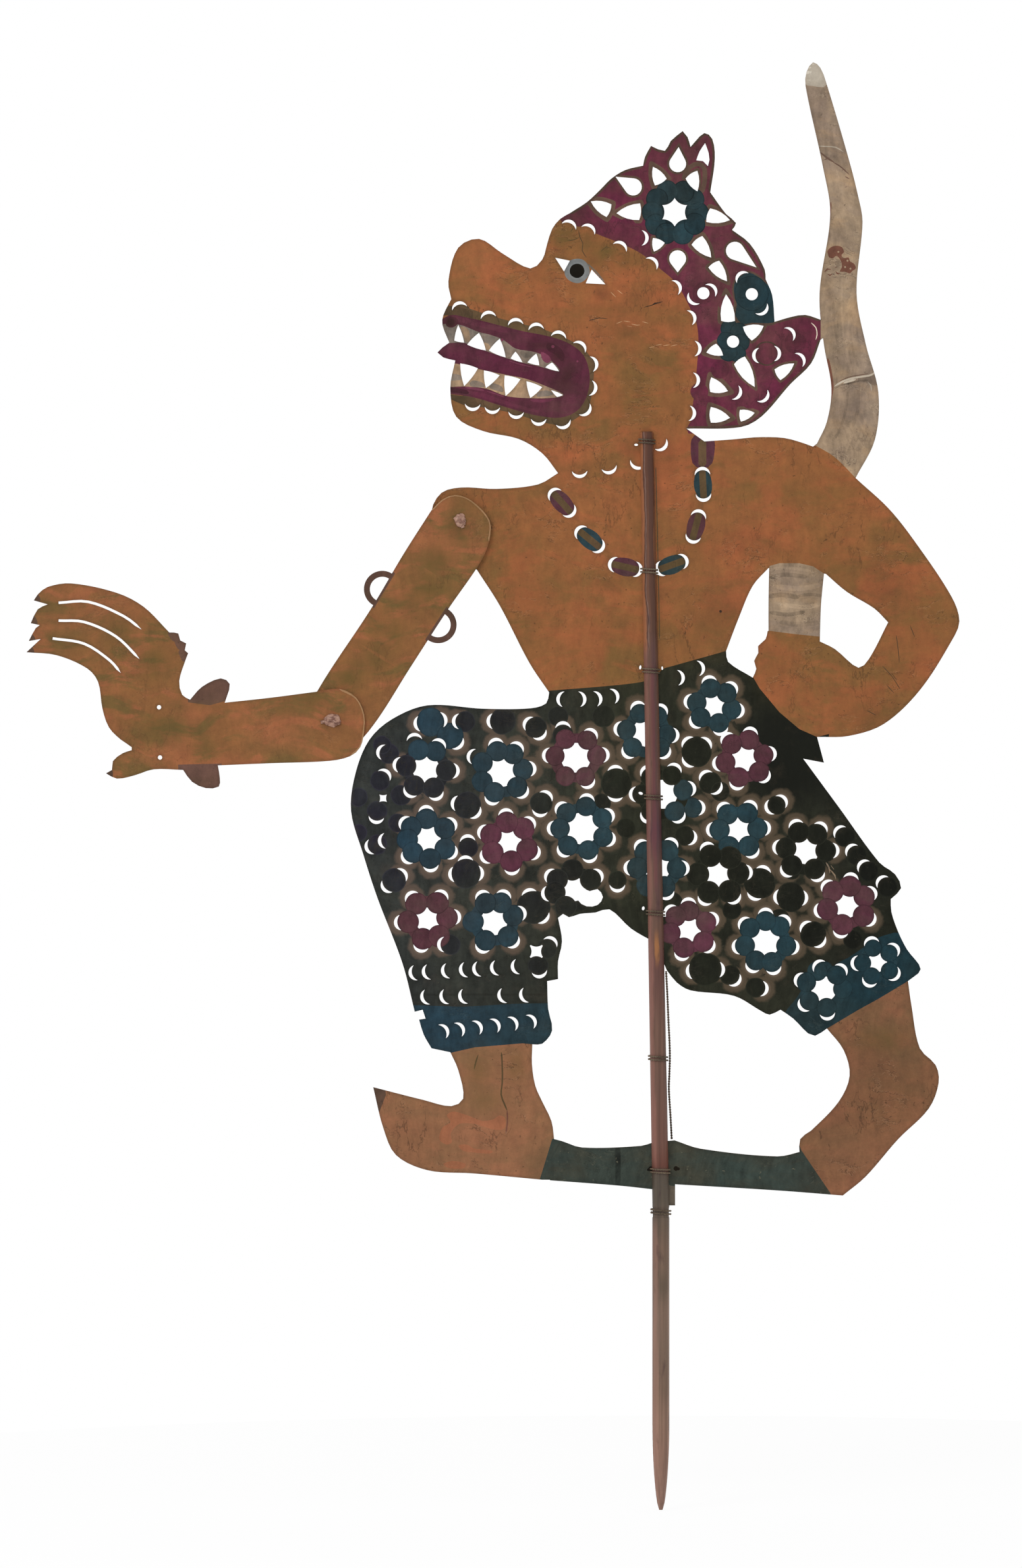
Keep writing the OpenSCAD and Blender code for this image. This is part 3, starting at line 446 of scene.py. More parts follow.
def aged_paint(name, shades, worn, **amounts):
    """A paint whose main colours change from left to right; worn gives its bare ground and its cracks."""
    middle = " ".join(codes.split()[1] for codes in shades.values())
    tree, old, surface = paint(name, middle + " " + worn, **amounts)
    for label, codes in shades.items():
        tree.links.new(across(tree, codes), old.inputs[label])
    return tree, old, surface


aged_paint("teal", {"Paint": "#243742 #283a3e #1b3239",
                    "Drift": "#2b3841 #2d3737 #203235",
                    "Warm": "#253d4c #294047 #1c3841"},
           "#56615d #121c1f", mottle=1.2, brush=0.8, rub=0.2, shine=0.08)
aged_paint("disc_black", {"Paint": "#26262d #21221a #151612",
                          "Drift": "#2c2e30 #26281e #191a15",
                          "Warm": "#27242e #1d1e17 #131411"},
           "#45413a #3a352b", mottle=1.2, brush=0.8, rub=0.2, shine=0.05)
tree, old, surface = aged_paint(
    "trousers", {"Paint": "#313432 #2a2b22 #21221b",
                 "Drift": "#3a3c38 #2f3024 #272820",
                 "Warm": "#2c2e2e #24251d #1b1c15"},
    "#5a5146 #15140f", mottle=1.3, brush=0.9, rub=0.22, shine=0.05)
print("paints:", len(paints))

# %% Halos on the trousers
place_on_hide = on_object(tree)
ragged = sloped(tree, cloud(tree, place_on_hide, 230.0, 4.0, 0.65), 3.4, -1.7)
fringe, edge = 0.0, 0.0
for label in ("halo_near", "halo_next"):
    way = place(tree, "Attribute", attribute_name=label).outputs["Vector"]
    flat = place(tree, "VectorMath", {0: way, 1: (1, 1, 0)}, operation="MULTIPLY").outputs[0]
    reach = place(tree, "VectorMath", {0: flat}, operation="LENGTH").outputs["Value"]
    air = minus(tree, reach, place(tree, "SeparateXYZ", {0: way}).outputs[2])
    fringe = larger(tree, fringe, fall(tree, plus(tree, air, ragged), 1.4, 3.5))
    edge = larger(tree, edge, fall(tree, air, -0.8, 0.9))
deepest = (0.066, 0, 0.287)  # where the black is darkest
away = place(tree, "VectorMath", {0: place_on_hide, 1: deepest}, operation="DISTANCE").outputs["Value"]
deep = fall(tree, plus(tree, times(tree, ragged, 0.004), away), 0.014, 0.04)
ground = mixed(tree, times(tree, deep, 0.85), old.outputs["Color"], srgb("#171814"))
haze = times(tree, step(tree, cloud(tree, place_on_hide, 62.0, 5.0, 0.65), 0.52, 0.7), 0.15)
brown = across(tree, "#61534b #594c3d #524739")
brown = mixed(tree, times(tree, cloud(tree, place_on_hide, 170.0, 4.0), 0.4), brown, srgb("#43382c"))
brown = mixed(tree, times(tree, edge, 0.5), brown, srgb("#7c6a5c"))
amount = larger(tree, times(tree, fringe, 0.92), haze)
tree.links.new(mixed(tree, amount, ground, brown), surface.inputs["Base Color"])
print("nodes of the trousers:", len(tree.nodes))

# %% [markdown]
# ## From a cut sheet to a painted sheet
# The plain solid already has the right cut edges. What it lacks is the painting, so its front edge loops
# are kept and the borders of the paints are drawn into the same sheet. Painting on a picture would need
# an image; drawing the borders into the mesh keeps each paint a crisp shape that can be changed by
# hand. A constrained Delaunay triangulation takes cut edges and paint borders together. The sheet is then
# given its thickness by extruding, so both sides carry the same painting and the wall is the raw edge.


# %% Shapes for the brush: areas, discs and strokes, all in millimetres
def flowing(points, closed=True, pace=3.0):
    """A smooth line through given points."""
    count = len(points)
    line = []
    for i in range(count if closed else count - 1):
        p = [Vector(points[j % count] if closed else points[min(max(j, 0), count - 1)])
             for j in range(i - 1, i + 3)]
        parts = max(1, math.ceil((p[2] - p[1]).length / pace))
        for k in range(parts):
            t = k / parts
            line.append(0.5 * (2 * p[1] + (p[2] - p[0]) * t + (2 * p[0] - 5 * p[1] + 4 * p[2] - p[3]) * t * t
                               + (3 * p[1] - p[0] - 3 * p[2] + p[3]) * t ** 3))
    if not closed:
        line.append(Vector(points[-1]))
    return [tuple(q) for q in line]


def round_spot(middle, radius, stretch=1.0, turn=0.0):
    """A disc laid on by hand: never quite round. Stretched and turned it is an oval."""
    count = max(14, int(radius * 5))
    phase = middle[0] * 0.7 + middle[1] * 1.3
    line = []
    for i in range(count):
        a = 2 * math.pi * i / count
        r = radius * (1 + 0.018 * math.sin(2 * a + phase) + 0.012 * math.sin(5 * a + 2 * phase))
        x, y = r * stretch * math.cos(a), r * math.sin(a)
        c, s = math.cos(math.radians(turn)), math.sin(math.radians(turn))
        line.append((middle[0] + x * c - y * s, middle[1] + x * s + y * c))
    return line


def brush_line(points, width, pace=2.5):
    """A stroke of the brush, thinner at both ends."""
    middle = [Vector(p) for p in flowing(points, closed=False, pace=pace)]
    last = len(middle) - 1
    left, right = [], []
    for i, p in enumerate(middle):
        along = (middle[min(i + 1, last)] - middle[max(i - 1, 0)]).normalized()
        side = Vector((-along.y, along.x)) * width / 2 * (0.35 if i in (0, last) else 1)
        left.append(tuple(p + side))
        right.append(tuple(p - side))
    return left + right[::-1]


def leftward(points):
    """An outline as vectors that run round it counter-clockwise."""
    ring = [Vector(p) for p in points]
    if sum(a.x * b.y - a.y * b.x for a, b in zip(ring, ring[1:] + ring[:1])) < 0:
        ring.reverse()
    return ring


def widened(points, by):
    """An outline moved outward by the same distance on all sides."""
    ring = leftward(points)
    count = len(ring)
    line = []
    for i in range(count):
        a = (ring[i] - ring[i - 1]).normalized()
        b = (ring[(i + 1) % count] - ring[i]).normalized()
        normal = Vector((a.y + b.y, -a.x - b.x))
        normal.normalize()
        line.append(tuple(ring[i] + normal * by / max(0.45, Vector((a.y, -a.x)).dot(normal))))
    return line


def polar(middle, reach, turn):
    a = math.radians(turn)
    return (middle[0] + reach * math.cos(a), middle[1] + reach * math.sin(a))


def inside(points, line):
    """Which of many points lie within an outline, by counting the sides crossed to the right."""
    x, y = points[:, 0], points[:, 1]
    odd = np.zeros(len(points), bool)
    for (ax, ay), (bx, by) in zip(line, line[1:] + line[:1]):
        if ay != by:
            odd ^= ((ay > y) != (by > y)) & (x < (bx - ax) * (y - ay) / (by - ay) + ax)
    return odd


# %% The rim of a cut sheet
def front_rim(node):
    """Corners and sides of the front face of a plain sheet."""
    bm = bmesh.new()
    bm.from_mesh(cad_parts[node].data)
    bmesh.ops.remove_doubles(bm, verts=bm.verts, dist=1e-6)
    bm.normal_update()
    bmesh.ops.delete(bm, geom=[f for f in bm.faces if f.normal.y > -0.9], context="FACES")
    rim = [e for e in bm.edges if e.is_boundary]
    corners = list(dict.fromkeys(v for e in rim for v in e.verts))
    place_of = {v: i for i, v in enumerate(corners)}
    points = [(v.co.x / MM, v.co.z / MM) for v in corners]
    sides = [(place_of[e.verts[0]], place_of[e.verts[1]]) for e in rim]
    bm.free()
    return points, sides


def kept_faces(edges, faces, rim):
    """Faces inside the cut edge: walking in from the hull, each rim side crossed changes hide for air."""
    number = {tuple(sorted(e)): i for i, e in enumerate(edges)}
    sides = [[number[tuple(sorted((f[i], f[i - 1])))] for i in range(3)] for f in faces]
    users = [[] for e in edges]
    for f, three in enumerate(sides):
        for e in three:
            users[e].append(f)
    state = {}
    for e, (f, *other) in ((e, u) for e, u in enumerate(users) if u):
        if not other and f not in state:
            state[f] = e in rim
            todo = [f]
            while todo:
                f = todo.pop()
                for e in sides[f]:
                    for g in users[e]:
                        if g not in state:
                            state[g] = state[f] != (e in rim)
                            todo.append(g)
    return [f for f in range(len(faces)) if state.get(f)]


def without_cuts(points, sides, places, reach=2.4):
    """Leaves out small cuts: the closed rims that lie wholly within a short reach of the given places."""
    beside = {}
    for a, b in sides:
        beside.setdefault(a, []).append(b)
        beside.setdefault(b, []).append(a)
    dropped = set()
    for middle in places:
        near = {i for i in beside if math.dist(points[i], middle) < reach}
        while near:
            loop, todo = set(), [near.pop()]
            while todo:
                i = todo.pop()
                loop.add(i)
                todo += [j for j in beside[i] if j not in loop]
            if all(math.dist(points[i], middle) < reach for i in loop):
                dropped |= loop
            near -= loop
    return [side for side in sides if side[0] not in dropped]


# %% Borders, paints and stains of a sheet
def drawn_sheet(node, zones, pace, filled, pierced):
    """The front of a sheet with its zones drawn into it: corners, triangles and a search of the rim."""
    points, sides = front_rim(node)
    sides = without_cuts(points, sides, filled)

    def add_loop(line):
        start = len(points)
        points.extend(line)
        sides.extend((start + i, start + (i + 1) % len(line)) for i in range(len(line)))

    for line in pierced:
        add_loop(line)
    rim_count = len(sides)
    rim_tree = kdtree.KDTree(2 * rim_count)
    for a, b in sides:
        rim_tree.insert((*points[a], 0), 0)
        rim_tree.insert(((points[a][0] + points[b][0]) / 2, (points[a][1] + points[b][1]) / 2, 0), 0)
    rim_tree.balance()
    for line, _, _ in zones:
        add_loop(line)
    low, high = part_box(node)
    rows = int((high[2] - low[2]) / MM / pace) + 1
    columns = int((high[0] - low[0]) / MM / pace) + 1
    points += [(low[0] / MM + (i + 0.5 * (j % 2)) * pace, low[2] / MM + (j + 0.3) * pace)
               for j in range(rows) for i in range(columns)]
    verts, edges, faces, _, came_from, _ = geometry.delaunay_2d_cdt(
        [Vector(p) for p in points], sides, [], 0, 1e-4, True)
    rim = {i for i, source in enumerate(came_from) if any(s < rim_count for s in source)}
    return verts, [faces[f] for f in kept_faces(edges, faces, rim)], rim_tree


def by_number(middles, labels, zones):
    """The number of the paint and the tone of each triangle; a later zone covers the earlier ones."""
    chosen = np.zeros(len(middles), int)
    tones = np.zeros(len(middles))
    for line, label, tone in zones:
        lowest, highest = np.min(line, axis=0), np.max(line, axis=0)
        near = np.nonzero(np.all((middles > lowest) & (middles < highest), axis=1))[0]
        hit = near[inside(middles[near], line)]
        chosen[hit] = labels.index(label)
        tones[hit] = tone
    return chosen, tones


def nearest_rings(middles, rings):
    """The two halo circles that lie nearest to each triangle."""
    circles = np.array([(x, z, radius) for (x, z), radius in rings])
    air = np.hypot(middles[:, :1] - circles[:, 0], middles[:, 1:] - circles[:, 1]) - circles[:, 2]
    return circles[np.argsort(air, axis=1)[:, :2]]


def stain_and_shadow_amounts(spots, stains_and_shadows):
    """The four stain channels at each spot, with painted shadow among the dark ones. A patch is soft, and
    where two meet the stronger one shows.
    """
    amounts = np.zeros((len(spots), 4))
    for channel, patches in stains_and_shadows.items():
        for x, z, wide, tall, most in patches:
            soft = np.exp(-((spots[:, 0] - x) / wide) ** 2 - ((spots[:, 1] - z) / tall) ** 2)
            amounts[:, channel] = np.maximum(amounts[:, channel], most * soft)
    return amounts


# %% The painted sheet
rim_reach = 3.5  # width of the dark line along a cut edge


def painted_sheet(name, node, ground, zones, stains_and_shadows, pace=4.0, filled=(), pierced=(), rings=()):
    """A sheet with its painting on both sides and its thickness, in the place of a plain one."""
    verts, faces, rim_tree = drawn_sheet(node, zones, pace, filled, pierced)
    middles = np.array([[sum(verts[v][k] for v in face) / 3 for k in (0, 1)] for face in faces])
    labels = [ground] + sorted({label for _, label, _ in zones} - {ground}) + ["cut_edge"]
    chosen, tones = by_number(middles, labels, zones)
    face_y, back_y = (corner[1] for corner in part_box(node))
    bm = bmesh.new()
    tone_layer = bm.faces.layers.float.new("tone")
    halo_layers = [bm.loops.layers.float_vector.new(label) for label in ("halo_near", "halo_next") if rings]
    nearest = nearest_rings(middles, rings) if rings else []
    corners = {}
    for number, triangle in enumerate(faces):
        for v in triangle:
            if v not in corners:
                corners[v] = bm.verts.new((verts[v][0] * MM, face_y, verts[v][1] * MM))
        face = bm.faces.new([corners[v] for v in triangle])
        face.material_index = int(chosen[number])
        face[tone_layer] = tones[number]
        for which, layer in enumerate(halo_layers):
            x, z, radius = nearest[number][which]
            for corner in face.loops:
                corner[layer] = (corner.vert.co.x / MM - x, corner.vert.co.z / MM - z, radius)
    grown = bmesh.ops.extrude_face_region(bm, geom=bm.faces[:])
    back = [v for v in grown["geom"] if isinstance(v, bmesh.types.BMVert)]
    bmesh.ops.translate(bm, verts=back, vec=(0, back_y - face_y, 0))
    bmesh.ops.recalc_face_normals(bm, faces=bm.faces)
    for face in bm.faces:
        if abs(face.normal.y) < 0.5:
            face.material_index = len(labels) - 1
            face[tone_layer] = 0.0
    rim_layer = bm.verts.layers.float.new("rim")
    stain_and_shadow_layer = bm.verts.layers.float_color.new("stain_and_shadow")
    spots = np.array([(v.co.x / MM, v.co.z / MM) for v in bm.verts])
    for v, (x, z), amounts in zip(bm.verts, spots, stain_and_shadow_amounts(spots, stains_and_shadows)):
        v[rim_layer] = max(0.0, 1 - rim_tree.find((x, z, 0))[2] / rim_reach)
        v[stain_and_shadow_layer] = amounts
    triangles = sum(len(f.verts) - 2 for f in bm.faces)
    piece = new_object(name, bm, [paints[label] for label in labels])
    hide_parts(node)
    print(name, "zones", len(zones), "triangles", triangles)
    return piece


# %% Measures of the stick and its ties
# These are the measures of the solids, in millimetres and degrees.
split_z, stick_top, lean = 58.35, 450.0, 1.05
grip_r, top_r, thread_d, play = 4.3, 3.4, 1.0, 0.15
tie_heights = {"neck_tie": 445, "chest_tie": 379.5, "waist_tie": 329, "hip_tie": 265, "seat_tie": 206.5,
               "shin_tie": 133, "base_tie": 76, "grip_tie": 55.3}


def stick_radius(z):
    return grip_r + (top_r - grip_r) * max(z - split_z, 0) / (stick_top - split_z)


def stick_middle(z):
    return -math.tan(math.radians(lean)) * max(z - split_z, 0)


def tie_radius(z):
    return stick_radius(z) + play + thread_d / 2


print("stick radius at the hip: %.2f mm" % stick_radius(tie_heights["hip_tie"]))

# %% [markdown]
# ## The figure: grounds
# The large grounds come first, as on the real puppet: the orange body is the ground, then headcloth,
# tail, trousers, hems and the base strip. Where an area ends at a cut edge its outline simply runs over
# it, because paint that falls outside the hide is dropped.

# %% Grounds
zones = []


def area(label, points, tone=0.0):
    zones.append(([tuple(p) for p in points], label, tone))


def spot(label, middle, radius, tone=0.0, **shape):
    zones.append((round_spot(middle, radius, **shape), label, tone))


def stroke_of(label, points, width, tone=0.0):
    zones.append((brush_line(points, width), label, tone))


def strokes(label, width, tone, *lines):
    for points in lines:
        stroke_of(label, points, width, tone)


scallop = -5.75  # from a crescent's middle to that of the scallop beneath it
hairline = flowing([(-50, 556), (-40, 553), (-30, 549), (-20, 545), (-10, 540), (0, 532), (7, 526),
                    (11, 520), (15, 512), (18, 505), (19, 495), (18, 480), (17, 470), (15, 455)],
                   closed=False)
area("headcloth", hairline + [(13, 451.5), (14, 449), (42, 449), (54, 455), (70, 474), (79, 484),
                              (80.8, 497), (80.8, 510), (60, 512), (60, 525), (50, 548), (40, 558),
                              (29, 575), (30, 602), (12, 605), (-8, 598), (-14, 588), (-30, 582),
                              (-54, 562)])
hair_row = [((-45.5, 556.2), 67), ((-35.5, 554), 60), ((-19.5, 545.3), 60), ((-3, 536.7), 45),
            ((9.5, 524), 25), ((17, 508.5), 20), ((19.8, 492), 0), ((19, 476), 0), ((17, 459), -5)]
for at, turn in hair_row:
    spot("skin", polar(at, scallop, turn), 5.4)
area("tail_grey", [(80.8, 510), (80.8, 496.5), (79, 484), (84, 470), (80, 455), (74, 443), (78, 443)]
     + flowing([(78, 443), (88, 437), (98.5, 426.5)], closed=False)
     + [(114, 440), (116, 475), (108, 500), (108, 560), (92, 625), (78, 642), (66, 640), (70, 600),
        (82, 560), (76, 520)])
area("tail_grey", [(53, 372), (55, 382), (60, 383.4), (70, 383.4), (77, 381.8), (82.7, 378), (84, 370),
                   (83, 346), (68, 347.5), (54, 349.3), (52, 349)])
waistline = flowing([(-57.7, 318.8), (-9.9, 323.3), (1, 329.8), (6.3, 331.5), (33, 339)], closed=False)
area("leg", [(-165, 165), (-50, 165), (-50, 92), (-61, 72.5), (-70, 50), (-165, 50)], 0.18)
area("leg", [(60, 200), (150, 200), (150, 50), (90, 50), (85.6, 65), (71, 86.5), (66, 100)], -0.05)
area("trousers", waistline + [(40, 333), (46.5, 326), (50, 320), (60, 308), (70, 299.5), (79, 295.5),
                              (85, 297), (85, 281), (76, 282), (100, 262), (125, 228), (120, 212),
                              (134, 180), (125, 172), (110, 163), (100, 157.5), (84, 148), (78, 140),
                              (58, 150), (0, 160), (-12, 185), (-26, 205), (-46, 200), (-48, 168),
                              (-50, 140), (-65, 140), (-70, 140.5), (-94, 138.5), (-105, 136), (-119, 132),
                              (-128, 150), (-162, 240), (-162, 292), (-120, 316), (-60, 314)])
area("teal", [(-130, 160), (-100, 159), (-75, 160.5), (-50, 161), (-50, 140), (-65, 140), (-70, 140.5),
              (-94, 138.5), (-105, 136), (-119, 132), (-130, 145)], -0.12)
area("teal", flowing([(64, 158), (69, 164), (76, 175), (84, 177), (89, 181), (95, 184), (102.5, 189),
                      (110, 194), (118, 196.5)], closed=False)
     + [(136, 196), (136, 178), (125, 172), (110, 163), (100, 157.5), (84, 148), (76, 140), (60, 150)],
     -0.12)
area("base_green", [(-55, 92), (-40, 100), (66, 100), (71, 86.5), (85.6, 65), (90, 55), (-70, 50),
                    (-61, 72.5)])
area("tab_grey", [(2, 70), (5, 68.5), (9, 68), (9, 54), (2, 54)])
print("grounds:", len(zones))

# %% [markdown]
# ## Rosettes and discs on the trousers
# Each rosette is a ring of round petals about a punched star, and nearly each petal has a crescent cut
# along its outer rim. The petals overlap like scales, and a fine scored line runs round each. Outside
# the crescent the painter left a brown halo. The middles and turns are those of the cuts. A row gives the
# middle of a rosette, what its ring and its petals differ from the common size, the turns of its petals with
# and without a crescent, its paint, and the turns that have no halo. Rows and loops are used because they
# keep all petals alike, which some hundreds of outlines drawn one by one would not.

# %% Rosettes
ring_common, petal_common = 10.5, 4.9
rosettes = [
    ((-118.8, 279.3), -0.3, 0.3, (-4, 62, 171, 235, 292), (111,), "disc_black", (62,)),
    ((-80.5, 277.7), 0.3, 0.3, (7, 58, 102, 250, 316), (154, 206), "teal", ()),
    ((-43, 285), 0.1, 0, (6, 57, 175, 296), (119, 240), "burgundy", ()),
    ((-7.3, 297.7), -0.3, 0, (-6, 57, 109, 172, 227, 312), (), "teal", (-6, 57)),
    ((-118, 244), -0.4, 0.4, (-30, 32, 93, 145, 223, 277), (182,), "teal", ()),
    ((-76.7, 242.5), -0.6, 0.6, (-24, 43, 97, 159, 213, 276), (), "burgundy", ()),
    ((-39.7, 249.2), 0.8, 0.1, (-22, 27, 81, 136, 180, 230, 285), (), "teal", ()),
    ((-118, 203), -0.6, 0.6, (6, 60, 125, 186, 256), (305,), "burgundy", ()),
    ((-84.5, 202), -0.2, 0.4, (18, 69, 114, 246, 314), (180,), "teal", ()),
    ((-1.7, 229.3), -0.4, 0.5, (60, 127, 180, 290), (0, 240), "teal", (60,)),
    ((-44, 218.5), -0.8, 0.5, (30, 150, 190), (95, 245), "disc_black", ()),
    ((27, 311.3), -1.5, 0.1, (-12, 46, 102, 170, 221, 285), (), "teal", ()),
    ((42.3, 284.5), -0.7, 0.2, (11, 77, 131, 191, 253, 318), (), "burgundy", (11, 77, 318)),
    ((39.3, 248.5), -0.9, 0.3, (4, 63, 125, 180, 302), (240,), "teal", ()),
    ((73.3, 237.8), -0.4, 0.4, (1, 57, 111, 172, 226, 296), (), "disc_black", ()),
    ((29, 226), -0.3, 0.8, (4, 113, 242, 304), (55, 180), "disc_black", (113,)),
    ((94, 210.2), -0.6, 0.5, (27, 81, 135, 191, 257, 329), (), "burgundy", (27, 81)),
    ((1, 266.5), 0, 0.1, (12, 65, 125, 180, 235, 305), (), "disc_black", (12, 65, 235, 305)),
    ((14.2, 198), -1, 0.3, (24, 91, 135, 254, 320), (190,), "burgundy", (135,)),
    ((53, 191.8), 0.1, 0.2, (48, 90, 139, 190, 242, 287, 349), (), "teal", ()),
    ((82.5, 168), -1, 0, (48, 159, 219, 278), (0, 110), "teal", (48, 159, 219, 278)),
    ((109.5, 181.5), -3, -0.5, (38, 107, 183, 247, 325), (), "teal", (38, 107, 183, 247, 325))]
teal_petals = {((-118.8, 279.3), 62), ((-118.8, 279.3), 111), ((1, 266.5), 12), ((1, 266.5), 305)}
crescent_len, crescent_w, halo_shift = 7.8, 1.7, 0.8
halo_rings = []


def petal(label, middle, radius, tone=0.0, score=0.25):
    """A painted disc with a fine scored line inside its border."""
    spot(label, middle, radius + score, tone + (-0.25 if label != "disc_black" else 0.45))
    spot(label, middle, radius - score, tone)


def halo(middle, radius, turn):
    """Notes the circle of a halo: that of the crescent's round side, moved outward."""
    inner = math.sqrt(radius ** 2 - crescent_len ** 2 / 4)
    outer = radius + crescent_w
    shift = (outer ** 2 - radius ** 2) / (2 * (outer - inner))
    halo_rings.append((polar(middle, shift + halo_shift, turn), outer - shift))


print("rosettes:", len(rosettes))

# %% Discs
# Each row is the middle of a disc, its radius and the turns of its crescents with a halo.
teal_discs = {(-116.5, 303), (-106.5, 296), (82.3, 177), (16, 259.7)}
discs = [(-116.5, 303, 7, 12, 188), (-99, 303.3, 5, 178), (-80, 303.5, 6.5, 180),
         (-63.3, 300.3, 5.3, 150, 302), (-106.5, 296, 6.5, -45), (-49.5, 296.8, 5, 90),
         (-137.5, 287, 4.9), (-142, 273.5, 4.9), (-143.5, 258, 4.9), (-143.5, 241, 4.9),
         (-98, 261, 6.7, 318), (-97.5, 239.7, 4.9, 95), (-98.5, 226.5, 7.4, 0, 93, 185),
         (-60.5, 262, 5.5, 54, 260), (-135, 223, 6, 35), (-64.5, 209.3, 8.3, 107, 314),
         (-57.5, 188.5, 4.9), (-62, 180, 5), (-106.5, 190.5, 5, 180), (-22.5, 272, 7.7, 95, 265),
         (-22, 223, 4.5, 270), (18, 288, 7.5, 42, 133, 230), (25, 272.3, 5.4, 125, 318),
         (12, 245.5, 4.9, -18), (8, 228.7, 4.9, 8), (50, 221.5, 7.7, 73, 246),
         (65.7, 214.5, 7.2, -5, 180), (58.5, 261, 4.6, 38, 200), (93, 245, 4.9), (99, 235.7, 4.9),
         (105, 227.7, 4.9), (114.5, 219.7, 4.9), (77, 195.7, 6.3, 135, 312), (82.3, 177, 4.9),
         (22.5, 178, 8.3, -2, 189), (35, 175, 4.9, -45), (48, 168.7, 4.9, -10), (16, 259.7, 4.9, 0),
         (-153, 265, 4.6), (-141, 291.5, 4.4), (-131.5, 266, 5), (-133, 252, 4.6), (-153, 247, 4.2),
         (-30, 262, 4.6), (-17.5, 249.5, 4.8), (60, 203, 5.2), (36, 208, 4.6), (66, 228, 4.4),
         (-52, 306, 5), (-29, 306, 5.5), (30, 268, 4.6), (6, 212, 4.8), (97, 193, 4.6)]
for x, z, radius, *turns in discs:
    petal("teal" if (x, z) in teal_discs else "disc_black", (x, z), radius)
    for turn in turns:
        halo((x, z), radius, turn)
print("discs:", len(discs))

# %% Petals of the rosettes
for middle, ring, grow, cut, plain, label, no_halo in rosettes:
    spot(label, middle, ring_common + ring + 2.0)
    for i, turn in enumerate(sorted(cut + plain)):
        own = "teal" if (middle, turn) in teal_petals else label
        drift = 0.09 * math.sin(3.7 * i + middle[0])
        petal(own, polar(middle, ring_common + ring, turn), petal_common + grow, drift)
    for turn in [turn for turn in cut if turn not in no_halo]:
        halo(polar(middle, ring_common + ring, turn), petal_common + grow, turn)
print("rosettes:", len(rosettes))

# %% [markdown]
# ## Face, headcloth and necklace
# The head carries the finest work: a scalloped brown lip follows the crescents round the mouth, the teeth
# are cut out between brown and grey gums, and the headcloth is a field of burgundy with leaf cuts edged
# in brown, a dark teal rosette and a teal flower. The outlines of the leaves are those of the cuts, widened,
# because a brush follows the edge of a hole more evenly than a second outline drawn by eye.

# %% Mouth
mouth_row = [((-102.5, 515), 105), ((-87.7, 510.3), 100), ((-73.7, 506.7), 95), ((-63.3, 504.3), 95),
             ((-51.3, 500.3), 80), ((-39.7, 494.5), 52), ((-32.5, 484.7), 12), ((-33, 471.5), -12),
             ((-36.8, 459.5), -45), ((-48.5, 452.2), -70), ((-61.8, 453.7), -90), ((-73.3, 457.2), -92),
             ((-85.3, 459.7), -92), ((-95.3, 461.2), -92)]
lip = [polar(at, scallop, turn) for at, turn in mouth_row]
stroke_of("brown_line", lip, 8)
for middle in lip:
    petal("brown_line", middle, 4.9)
area("lip", flowing([(-106, 509.5), (-94.4, 507), (-81.5, 503.7), (-68.7, 500.5), (-58.5, 498.6),
                     (-48.2, 495.4), (-40.5, 490.3), (-37, 483.8), (-36, 475.5), (-38, 466.5), (-43, 460),
                     (-50.8, 457), (-59.7, 457.6), (-68.7, 459.5), (-81.5, 463.3), (-94.4, 467.2),
                     (-106.5, 469)], closed=False)
     + [(-112, 470), (-116, 490), (-114, 505)])
area("lip", flowing([(-106, 508.8), (-92, 505.6), (-78, 501.8), (-77, 499.6), (-90, 502.4), (-103, 505.8)]),
     0.2)
area("lip", flowing([(-104, 471.4), (-90, 469.4), (-76, 464.6), (-62, 460.6), (-62, 459.4), (-78, 463.4),
                     (-94, 468.2)]), 0.2)
area("brown_line", [(-113, 513.5), (-107, 513.6), (-102, 513), (-95, 511), (-95, 507), (-104, 509),
                    (-113, 508.5)], -0.25)
area("brown_line", [(-110, 469.5), (-106, 468.8), (-94, 467), (-92, 462.5), (-100, 463.5), (-106, 466.2),
                    (-110, 467)], -0.2)
area("tooth_grey", flowing([(-112, 503.5), (-102.5, 504.2), (-92, 500.3), (-81.5, 497.3), (-73.5, 492),
                            (-63, 490), (-55, 485.5), (-51.3, 480.3), (-61.7, 483), (-70, 484.8),
                            (-78.3, 487.2), (-88.6, 490.8), (-99.5, 494.8), (-112, 495.3)]))
area("tooth", flowing([(-110, 484.7), (-91, 481.3), (-78.3, 478.7), (-68.7, 476.8), (-59.7, 473.6),
                       (-49.4, 469), (-52.5, 467.3), (-63.6, 466.8), (-77.5, 467.8), (-88.5, 471.7),
                       (-99, 472.8), (-110, 473.6)]))
print("zones so far:", len(zones))

